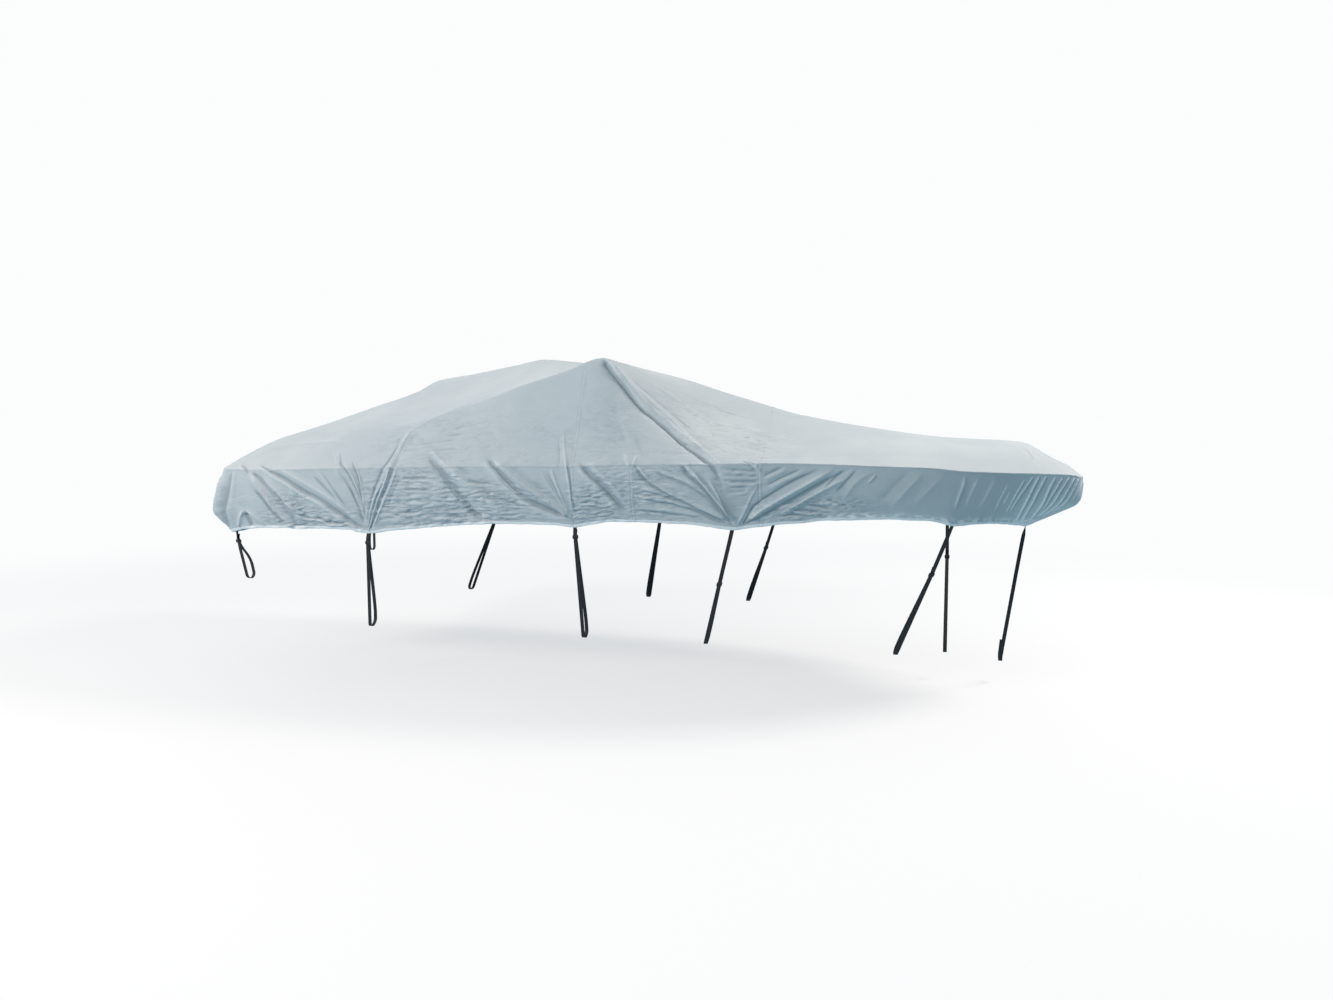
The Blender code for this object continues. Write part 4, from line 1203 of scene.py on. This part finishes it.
def buildPlastic():
    material, shader = newMaterial("buckleMoulding")
    place = objectPlace()
    dust = useGroup(dustGroup, Vector=place, Scale=60.0)["Patches"]
    feed(shader["Base Color"], blendColour(times(dust, 0.5), buckle["colour"], buckle["rubbed"]))
    feed(shader["Roughness"], plus(buckle["rough"], times(dust, 0.22)))
    feedHeight(shader, times(noiseOf(place, 2600.0, 2.0, 0.5), buckle["grainHeight"]))
    return material


canvasPaint = buildCanvas()
liningPaint = buildLining()
webbingPaint = buildWebbing()
plasticPaint = buildPlastic()
print("finishes are made")

stations = clothStations()
steps = np.concatenate([
    -np.linspace(2, 1, cut["outer"], endpoint=False), -np.linspace(1, 0, cut["inner"], endpoint=False),
    np.linspace(0, 1, cut["inner"], endpoint=False), np.linspace(1, 2, cut["outer"] + 1)])
rows = len(stations)
columns = len(steps)
gridX = np.repeat(stations[:, None], columns, axis=1)
topShare = shareAt(gridX, np.repeat(steps[None, :], rows, axis=0))
topPlain = topPoint(gridX, topShare)
topNormal = crossNormals(topPlain)
if topNormal[rows // 2, columns // 2, 2] < 0:
    topNormal = -topNormal
topNormal[-1] = topNormal[-2]
gaps = np.linalg.norm(np.diff(topPlain, axis=1), axis=2)
fromStarboard = np.concatenate([np.zeros((rows, 1)), np.cumsum(gaps, axis=1)], axis=1)
fromPort = fromStarboard[:, -1:] - fromStarboard
topSide = np.where(steps < 0, -1, 1)[None, :].repeat(rows, axis=0)
topT = -np.where(topSide < 0, fromStarboard, fromPort)
sternHalf = float(halfBreadth(np.array([cut["stern"]]))[0])
ringLong = 2 * (sideLong + sternHalf)
topRing = np.where(topSide < 0, cut["bowTip"] - gridX, ringLong - (cut["bowTip"] - gridX))

# The skirt is one ring of stations: starboard seam, bow, port, stern and back.
aftRow, shortRow, foreRow = [int(np.abs(stations - cut[key]).argmin())
                             for key in ("seamAft", "seamShort", "seamFore")]
ring = [(i, 0) for i in range(aftRow, rows)]
ring += [(i, columns - 1) for i in range(rows - 2, -1, -1)]
ring += [(0, j) for j in range(columns - 2, 0, -1)]
ring += [(i, 0) for i in range(0, aftRow + 1)]
ringI, ringJ = np.array(ring).T
ringX = stations[ringI]
ringShare = topShare[ringI, ringJ]
onStern = (ringI == 0) & (ringJ > 0) & (ringJ < columns - 1)
ringSide = np.where(ringShare < 0, -1, 1)
ringS = np.where(onStern, cut["stern"] - sternHalf * (1 - np.abs(ringShare)), ringX)
ringRun = np.where(ringSide < 0, cut["bowTip"] - ringX, ringLong - (cut["bowTip"] - ringX))
ringRun = np.where(onStern, sideLong + sternHalf * (1 + ringShare), ringRun)
depths = np.concatenate([
    [0, .005, .012, .020, .029, .040], np.linspace(.05, .92, cut["deep"]),
    [.932, .938, .944, .958, .972, .986, 1.0]])
spread = (len(ring), len(depths))


def overSkirt(values):
    return np.broadcast_to(values[:, None], spread)


def wrapped(points):
    return np.concatenate([points[-4:-1], points, points[1:4]])


skirtDepth = np.broadcast_to(depths, spread)
skirtPlain = skirtPoint(overSkirt(ringX), overSkirt(ringShare), skirtDepth)
skirtNormal = crossNormals(wrapped(skirtPlain))[3:-3]
if (skirtNormal[:, :, 1] * skirtPlain[:, :, 1]).mean() < 0:
    skirtNormal = -skirtNormal
skirtT = skirtDepth * cut["drop"]

# Both share one direction along the gunwale, and turn away from it over a short way.
shared = unit(topNormal[ringI, ringJ] + skirtNormal[:, 0])
sharedTop = np.zeros((rows, 2, 3))
for index, (i, j) in enumerate(ring):
    if j in (0, columns - 1):
        sharedTop[i, int(j > 0)] = shared[index]
sharedTop[-1, 1] = sharedTop[-1, 0]
blendSkirt = smoothStep(skirtT / slack["turn"])[..., None]
skirtNormal = unit(shared[:, None] * (1 - blendSkirt) + skirtNormal * blendSkirt)
blendTop = smoothStep(-topT / slack["turn"])[..., None]
edgeNormal = np.where((topSide < 0)[..., None], sharedTop[:, :1], sharedTop[:, 1:])
topNormal = unit(edgeNormal * (1 - blendTop) + topNormal * blendTop)

folds = sideFolds()
ridgeCalm = smoothStep(np.abs(topShare) / 0.10)
topLift = liftCloth(gridX, topT, topSide, topRing, ridgeCalm, False, folds)
skirtS = overSkirt(ringS)
skirtSide = overSkirt(ringSide)
skirtRun = overSkirt(ringRun)
skirtLift = liftCloth(skirtS, skirtT, skirtSide, skirtRun, 1.0, True, folds)
topPoints = topPlain + topNormal * topLift[..., None]
skirtPoints = skirtPlain + skirtNormal * skirtLift[..., None]
wave = wander(skirtRun * 8.3, skirtT * 0 + 0.3, 21) + 0.7 * wander(skirtRun * 2.9, skirtT * 0 + 0.6, 22)
skirtPoints[..., 2] += smoothStep((skirtT - hem["waveStart"]) / hem["waveReach"]) * hem["wave"] * wave

# The lower edge turns inwards round its cord.
downward = unit(skirtPoints[:, -1] - skirtPoints[:, -4])
inward = unit(np.cross(np.cross(downward, -skirtNormal[:, -1]), downward))
turns = np.radians(np.linspace(0, hem["turn"], hem["steps"] + 1)[1:])
rollCentre = skirtPoints[:, -1] + inward * hem["roll"]
rollPoints = np.stack([
    rollCentre + hem["roll"] * (downward * np.sin(turn) - inward * np.cos(turn)) for turn in turns], axis=1)
skirtPoints = np.concatenate([skirtPoints, rollPoints], axis=1)
rollRun = np.repeat(-hem["roll"] * turns[None], len(ring), axis=0)
print("the cloth has its folds")


def padRoll(values):
    # carries a value of the skirt round its rolled edge
    return np.concatenate([values, np.repeat(values[:, -1:], len(turns), axis=1)], axis=1)


around = int(round(slack["reliefReach"] / cut["cell"]))
topRelief = reliefOf(topLift, around, slack["topAcross"])
skirtRelief = reliefOf(skirtLift, around, slack["skirtAcross"])
wearAndHighlight = {                      # rubbed places, and painted highlight on the bow's crests: share, where each begins and how far it takes to grow
    "streaks": (0.25, 2.95, 0.12),
    "pleats": (0.75, 3.26, 0.10),
    "bow": (0.22, 3.25, 0.3),
    "hemFore": (1.0, 2.05, 0.3),
    "hemLow": (1.0, 0.356, 0.035),
    "ridgeGain": 2.4,
    "ridgeStart": 0.25,
    "patches": 0.45,
    "patchGain": 1.6,
}


def growing(key, value):
    share, start, reach = wearAndHighlight[key]
    return share * smoothStep((value - start) / reach)


# on the bow's crests this is painted highlight as well as rubbed wear
bowWearAndHighlight = growing("streaks", skirtS) + growing("pleats", skirtS)
bowWearAndHighlight = bowWearAndHighlight * np.clip(wearAndHighlight["ridgeGain"] * skirtRelief - wearAndHighlight["ridgeStart"], 0, 1)
bowWearAndHighlight = bowWearAndHighlight + growing("bow", skirtS)
patches = wearAndHighlight["patches"] + wearAndHighlight["patchGain"] * wander(skirtRun * 26, skirtT * 34, 31)
hemWear = growing("hemLow", skirtT) * growing("hemFore", skirtS) * np.clip(patches, 0, 1)
calmDeck = 1 - slack["deckPlain"] * smoothStep((gridX - slack["deckStart"]) / slack["deckReach"])
topMasks = {
    "relief": topRelief,
    "wearAndHighlight": np.zeros_like(topRelief),
    "crossSeam": seamDistance(gridX, topT),
    "edgeSeam": np.full_like(topT, 0.1),
    "aboveHem": np.full_like(topT, 0.4),
    "slack": (slack["least"] + slack["topMost"] * crumpleShare(gridX, topT, topSide)) * calmDeck,
}
skirtMasks = {
    "relief": padRoll(skirtRelief),
    "wearAndHighlight": padRoll(np.clip(bowWearAndHighlight + hemWear, 0, 1)),
    "crossSeam": padRoll(seamDistance(skirtS, skirtT)),
    "edgeSeam": padRoll(skirtT),
    "aboveHem": np.concatenate([cut["drop"] - skirtT, rollRun], axis=1),
    "slack": padRoll(slack["least"] + (1 - slack["least"]) * crumpleShare(skirtS, skirtT, skirtSide)),
}
topUv = np.stack([gridX, fromStarboard], axis=-1)
skirtDown = np.concatenate([skirtT, cut["drop"] - rollRun], axis=1)
tipExtra = bowExtra[-1]
fromTip = overSkirt(cut["bowTip"] + tipExtra - gunwaleRun(ringX))
skirtUv = np.stack([padRoll(skirtRun + tipExtra), skirtDown], axis=-1)
bowUv = np.stack([padRoll(fromTip * -skirtSide), skirtDown], axis=-1)
skirtNormals = padRoll(skirtNormal)

bowAt = rows - 1 - aftRow
shortAt, foreAt = shortRow - aftRow, foreRow - aftRow
portFore, portShort, portAft = [bowAt + (rows - 1 - row) for row in (foreRow, shortRow, aftRow)]
panels = (                    # name, first and last station, width, length and area as cut, most triangles
    ("top_aft", 0, aftRow, 2.95, 2.90, 7.3, 80000),
    ("top_middle", aftRow, foreRow, 2.75, 1.45, 3.5, 70000),
    ("top_fore", foreRow, rows - 1, 2.45, 2.10, 3.4, 40000),
    ("skirt_short_starboard", 0, shortAt, 0.42, 0.50, 0.18, 16000),
    ("skirt_long_starboard", shortAt, foreAt, 0.84, 0.50, 0.36, 16000),
    ("skirt_bow", foreAt, portFore, 5.00, 0.48, 2.0, 84000),
    ("skirt_long_port", portFore, portShort, 0.84, 0.50, 0.36, 16000),
    ("skirt_short_port", portShort, portAft, 0.42, 0.50, 0.18, 16000),
    ("skirt_stern", portAft, len(ring) - 1, 7.60, 0.50, 3.55, 92000),
)


def fit(piece, node):
    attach(piece, "root")
    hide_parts(node)


for node, first, last, wide, long, area, most in panels:
    cloth = (skirtPoints, skirtNormals, bowUv if node == "skirt_bow" else skirtUv, skirtMasks)
    if node.startswith("top"):
        cloth = (topPoints, topNormal, topUv, topMasks)
    block = slice(first, last + 1)
    points, normals, uv = [values[block] for values in cloth[:3]]
    masks = {key: values[block] for key, values in cloth[3].items()}
    piece = solidSheet("cloth_" + node, points, normals, uv, masks, (canvasPaint, liningPaint),
                       cut["thick"], node == "top_fore", most)
    fit(piece, node)
print("panels are cut")

straps = {
    "step": 0.012,            # between the points along it
    "offs": (-0.5, -0.42, -0.2, 0, 0.2, 0.42, 0.5),  # shares of its width
    "crown": 0.0004,          # how far its edges lie back
    "beam": 0.080,            # it went round something this deep
    "beamSteps": 12,
    "rise": 0.10,
    "tailLong": 0.050,
    "tailOut": 0.012,
    "under": 0.0075,          # its middle lies this far under the face of the cloth
    "inside": 0.0125,         # and this far inside the hem
    "sewnAt": (8, 6, 4),      # rows up from the finished edge
    "above": 0.009,
    "below": 0.004,
    "turnStart": 0.05,
    "turnLong": 0.16,
    "portQuarterFoot": (2.960, 0.080, -2.060),
    "bowFoot": (3.330, 0.0, -2.075),
    "bowLean": 0.01,
}


def bandOf(name, path, alongHem):
    # flat webbing along a path: its width follows the hem at the top and turns level along the boat below
    points = easedPath(path)
    run = np.concatenate([[0], np.cumsum(np.linalg.norm(np.diff(points, axis=0), axis=1))])
    count = int(run[-1] / straps["step"])
    even = np.unique(np.concatenate([np.linspace(0, run[-1], count + 1), run]))
    even = even[np.concatenate([[True], np.diff(even) > straps["step"] / 10])]
    line = np.stack([np.interp(even, run, points[:, k]) for k in range(3)], axis=-1)
    tangent = unit(np.gradient(line, axis=0))
    turned = smoothStep((even - straps["turnStart"]) / straps["turnLong"])[:, None]
    across = np.array([1.0, 0, 0]) * turned + np.array(alongHem) * (1 - turned)
    across = unit(across - tangent * (tangent * across).sum(axis=-1, keepdims=True))
    facing = np.cross(across, tangent)
    offs = np.array(straps["offs"]) * webbing["wide"]
    crown = np.zeros(len(offs))
    crown[[0, -1]] = -straps["crown"]
    grid = line[:, None] + across[:, None] * offs[None, :, None] + facing[:, None] * crown[None, :, None]
    uv = np.stack(np.broadcast_arrays(offs[None, :], even[:, None]), axis=-1)
    facing = np.repeat(facing[:, None], len(offs), axis=1)
    piece = solidSheet(name, grid, facing, uv, {}, (webbingPaint,), webbing["thick"])
    piece.modifiers["thickness"].offset = 0
    return piece, float(run[-1])


def halfTurn(centre, start, across):
    turns = [np.pi * k / straps["beamSteps"] for k in range(1, straps["beamSteps"])]
    return [centre + start * np.cos(turn) + across * np.sin(turn) for turn in turns]


def strapLines(at, foot, side):
    down = (foot - at).normalized()
    inside = Vector((1, 0, 0)).cross(down).normalized()
    return down, -inside if inside.y * side > 0 else inside


def hemSpot(x, side):
    # where a strap is sewn on: the finished edge, the webbing's path down to it and the way along the hem
    wanted = hemPoint(np.array([x]), np.array([float(side)]))[0]
    last = len(depths) - 1
    best = int(np.linalg.norm(skirtPoints[:, last] - wanted, axis=1).argmin())
    sewn = [Vector(skirtPoints[best, last - back] - skirtNormal[best, last - back] * straps["under"])
            for back in straps["sewnAt"]]
    near = [skirtPoints[(best + off) % (len(ring) - 1), last] for off in (-3, 3)]
    along = Vector(near[1] - near[0]).normalized()
    if along.x < 0:
        along = -along
    edge = Vector(skirtPoints[best, last])
    up = -Vector(downward[best])
    into = Vector(inward[best]) * straps["inside"]
    return edge, sewn + [edge + up * straps["above"] + into, edge - up * straps["below"] + into], along


def strapPath(sewn, at, foot, side):
    down, inside = strapLines(at, foot, side)
    half = inside * straps["beam"] / 2
    back = at + inside * buckle["pitch"]
    path = sewn + [at - down * buckle["run"], at + down * buckle["run"], foot]
    path += halfTurn(foot + half, -half, down * straps["beam"] / 2)
    path += [foot + 2 * half, foot + 2 * half - down * straps["rise"], back + down * buckle["run"]]
    path += [back - down * buckle["tall"], back - down * buckle["run"] + inside * webbing["thick"]]
    path += [back - down * straps["tailLong"] + inside * straps["tailOut"]]
    return path


def buildBuckle(name, at, foot, side):
    # a moulded sleeve for both layers of webbing, with finger ribs on its face
    down, inside = strapLines(at, foot, side)
    bm = bmesh.new()
    bmesh.ops.create_cube(bm, size=1)
    for vert in bm.verts:
        vert.co = Vector((vert.co.x * buckle["wide"], vert.co.y * buckle["deep"], vert.co.z * buckle["tall"]))
    ends = [face for face in bm.faces if abs(face.normal.z) > 0.5]
    bmesh.ops.inset_individual(bm, faces=ends, thickness=buckle["bar"], use_even_offset=True)
    rims = [edge for face in ends for edge in face.edges]
    bmesh.ops.delete(bm, geom=ends, context="FACES_ONLY")
    bmesh.ops.bridge_loops(bm, edges=rims)
    outside = [edge for edge in bm.edges
               if all(abs(abs(vert.co.x) - buckle["wide"] / 2) < 1e-5 for vert in edge.verts)
               and all(abs(abs(vert.co.y) - buckle["deep"] / 2) < 1e-5 for vert in edge.verts)]
    bmesh.ops.bevel(bm, geom=outside, offset=buckle["corner"], offset_type="OFFSET", segments=4, profile=0.5,
                    affect="EDGES", material=-1)
    for z in buckle["ribs"]:
        for off in (-buckle["ribHalf"], buckle["ribHalf"]):
            bmesh.ops.bisect_plane(bm, geom=bm.verts[:] + bm.edges[:] + bm.faces[:],
                                   plane_co=(0, 0, z + off), plane_no=(0, 0, 1))
    bm.normal_update()
    ribs = []
    for face in bm.faces:
        middle = face.calc_center_median()
        onFace = face.normal.y < -0.9 and middle.y < -buckle["deep"] / 2 + 1e-4
        if onFace and any(abs(middle.z - z) < buckle["ribHalf"] / 2 for z in buckle["ribs"]):
            ribs.append(face)
    for face in bmesh.ops.extrude_discrete_faces(bm, faces=ribs)["faces"]:
        for vert in face.verts:
            vert.co = vert.co + Vector((-buckle["edge"] * np.sign(vert.co.x), -buckle["ribHeight"], 0))
    middle = at + inside * buckle["pitch"] / 2
    for vert in bm.verts:
        vert.co = middle + Vector((vert.co.x, 0, 0)) + inside * vert.co.y - down * vert.co.z
    bmesh.ops.recalc_face_normals(bm, faces=bm.faces)
    piece = placed(name, meshOf(bm, name))
    piece.data.materials.append(plasticPaint)
    soft = piece.modifiers.new("edges", "BEVEL")
    soft.width = buckle["edge"]
    soft.segments = 2
    soft.limit_method = "ANGLE"
    return piece


lengths = {}


def fitStrap(name, path, along):
    strap, long = bandOf("webbing_" + name, path, along)
    lengths[name] = round(long, 3)
    fit(strap, "strap_" + name)


for side, label in ((-1, "starboard"), (1, "port")):
    for name, hemX, share, x, y, z in strapRows:
        foot = Vector((x, y * side, z))
        if name == "quarter" and side > 0:
            foot = Vector(straps["portQuarterFoot"])
        name = f"{name}_{label}"
        edge, sewn, along = hemSpot(hemX, side)
        at = edge.lerp(foot, share)
        cloth = "cloth_skirt_stern" if hemX < cut["seamAft"] else "cloth_skirt_bow"
        fitStrap(name, strapPath(sewn, at, foot, side), along)
        fit(buildBuckle("moulded_" + name, at, foot, side), "buckle_" + name)
_, sewn, along = hemSpot(cut["bowTip"], -1)
foot = Vector(straps["bowFoot"])
half = Vector((0, straps["beam"] / 2, 0))
path = sewn + [foot] + halfTurn(foot + half, -half, Vector((0, 0, -straps["beam"] / 2)))
path += [foot + 2 * half, foot + 2 * half + Vector((straps["bowLean"], 0, straps["rise"]))]
fitStrap("bow", path, along)
print("straps are on", lengths)

studio = {
    "camera": (2.799, -7.151, -0.46),
    "turn": 14.5,
    "pitch": 4.5,
    "lens": 27.0,
    "floorHeight": -2.26,
    "floorReach": 60.0,
    "floorNear": 3.0,
    "floorFar": 10.0,
    "floorGlow": 0.62,        # keeps the shadow soft and pale
    "floorColour": (0.80, 0.80, 0.80, 1),
    "floorBounce": (0.28, 0.32, 0.345, 1),
    "backdrop": (0.97, 0.975, 0.98, 1),
    "darkSide": (0.90, -0.43, 0.0),
    "darkShare": 0.92,
    "skyLow": (0.39, 0.625, 0.76, 1),
    "skyHigh": (0.44, 0.60, 0.655, 1),
    "skyPort": (0.56, 0.62, 0.66, 1),
    "portSide": (-0.35, 0.93, 0.0),
    "black": (0.0, 0.0, 0.0, 1),
}

lamps = (                     # name, place, aim, size, watts, colour
    ("ahead", (9.0, 3.0, 6.0), (3.2, 0.0, -0.7), (2.6, 2.6), 1060, (1.0, 0.88, 0.82)),
    ("aft", (-6.0, -7.0, 4.0), (-1.0, -1.0, -0.8), (2.8, 2.2), 640, (1.0, 0.83, 0.75)),
    ("behind", (-6.0, 9.0, 4.0), (-0.5, 0.8, -0.9), (3.5, 3.0), 150, (1.0, 0.95, 0.91)),
    ("front", (-0.8, -9.0, 4.5), (-0.2, -1.0, -0.6), (4.0, 3.0), 150, (1.0, 0.97, 1.0)),
)


def buildCamera():
    view = bpy.data.cameras.new("studioCamera")
    view.lens = studio["lens"]
    view.sensor_width = 36.0
    view.clip_end = 200.0
    holder = placed("studioCamera", view)
    holder.location = studio["camera"]
    holder.rotation_euler = (np.radians(90 - studio["pitch"]), 0, np.radians(studio["turn"]))
    bpy.context.scene.camera = holder


def areaLight(name, at, aim, size, power, colour):
    lamp = bpy.data.lights.new(name, "AREA")
    lamp.shape = "RECTANGLE"
    lamp.size, lamp.size_y = size
    lamp.energy = power
    lamp.color = colour
    holder = placed(name, lamp)
    holder.location = at
    holder.rotation_euler = (Vector(aim) - Vector(at)).to_track_quat("-Z", "Y").to_euler()


def towards(place, direction, low, high):
    node = addNode("ShaderNodeVectorMath", operation="DOT_PRODUCT")
    feed(node.inputs[0], place)
    feed(node.inputs[1], direction)
    return between(node.outputs["Value"], low, high)


def seenByCamera():
    return addNode("ShaderNodeLightPath").outputs["Is Camera Ray"]


def buildSky():
    world = bpy.data.worlds.new("softbox")
    bpy.context.scene.world = world
    world.use_nodes = True
    bench["tree"] = world.node_tree
    place = addNode("ShaderNodeTexCoord").outputs["Generated"]
    light = blendColour(between(partsOf(place)[2], 0.0, 0.9), studio["skyLow"], studio["skyHigh"])
    light = blendColour(towards(place, studio["portSide"], 0.0, 0.7), light, studio["skyPort"])
    dim = times(towards(place, studio["darkSide"], 0.1, 0.9), studio["darkShare"])
    light = blendColour(dim, light, studio["black"])
    sky = world.node_tree.nodes["Background"]
    feed(sky.inputs["Color"], blendColour(seenByCamera(), light, studio["backdrop"]))


def buildFloor():
    bm = bmesh.new()
    bmesh.ops.create_circle(bm, cap_ends=True, cap_tris=False, segments=96, radius=studio["floorReach"])
    for vert in bm.verts:
        vert.co.z = studio["floorHeight"]
    floor = placed("floor", meshOf(bm, "floor"))
    material, shader = newMaterial("paleFloor")
    nodes = material.node_tree.nodes
    far = addNode("ShaderNodeVectorMath", operation="LENGTH")
    feed(far.inputs[0], scaled(objectPlace(), 1, 1, 0))
    share = between(far.outputs["Value"], studio["floorNear"], studio["floorFar"])
    seen = seenByCamera()
    feed(shader["Base Color"], blendColour(seen, studio["floorBounce"], studio["floorColour"]))
    feed(shader["Roughness"], 0.9)
    feed(shader["Specular IOR Level"], 0.1)
    glow = addNode("ShaderNodeEmission")
    feed(glow.inputs["Color"], blendColour(seen, studio["skyLow"], studio["backdrop"]))
    mix = addNode("ShaderNodeMixShader")
    feed(mix.inputs[0], plus(studio["floorGlow"], times(share, 1 - studio["floorGlow"])))
    feed(mix.inputs[1], nodes["Principled BSDF"].outputs[0])
    feed(mix.inputs[2], glow.outputs[0])
    feed(nodes["Material Output"].inputs["Surface"], mix.outputs[0])
    floor.data.materials.append(material)


buildCamera()
buildSky()
buildFloor()
for lamp in lamps:
    areaLight(*lamp)
bpy.context.scene.view_settings.view_transform = "Standard"
print("the studio is lit")
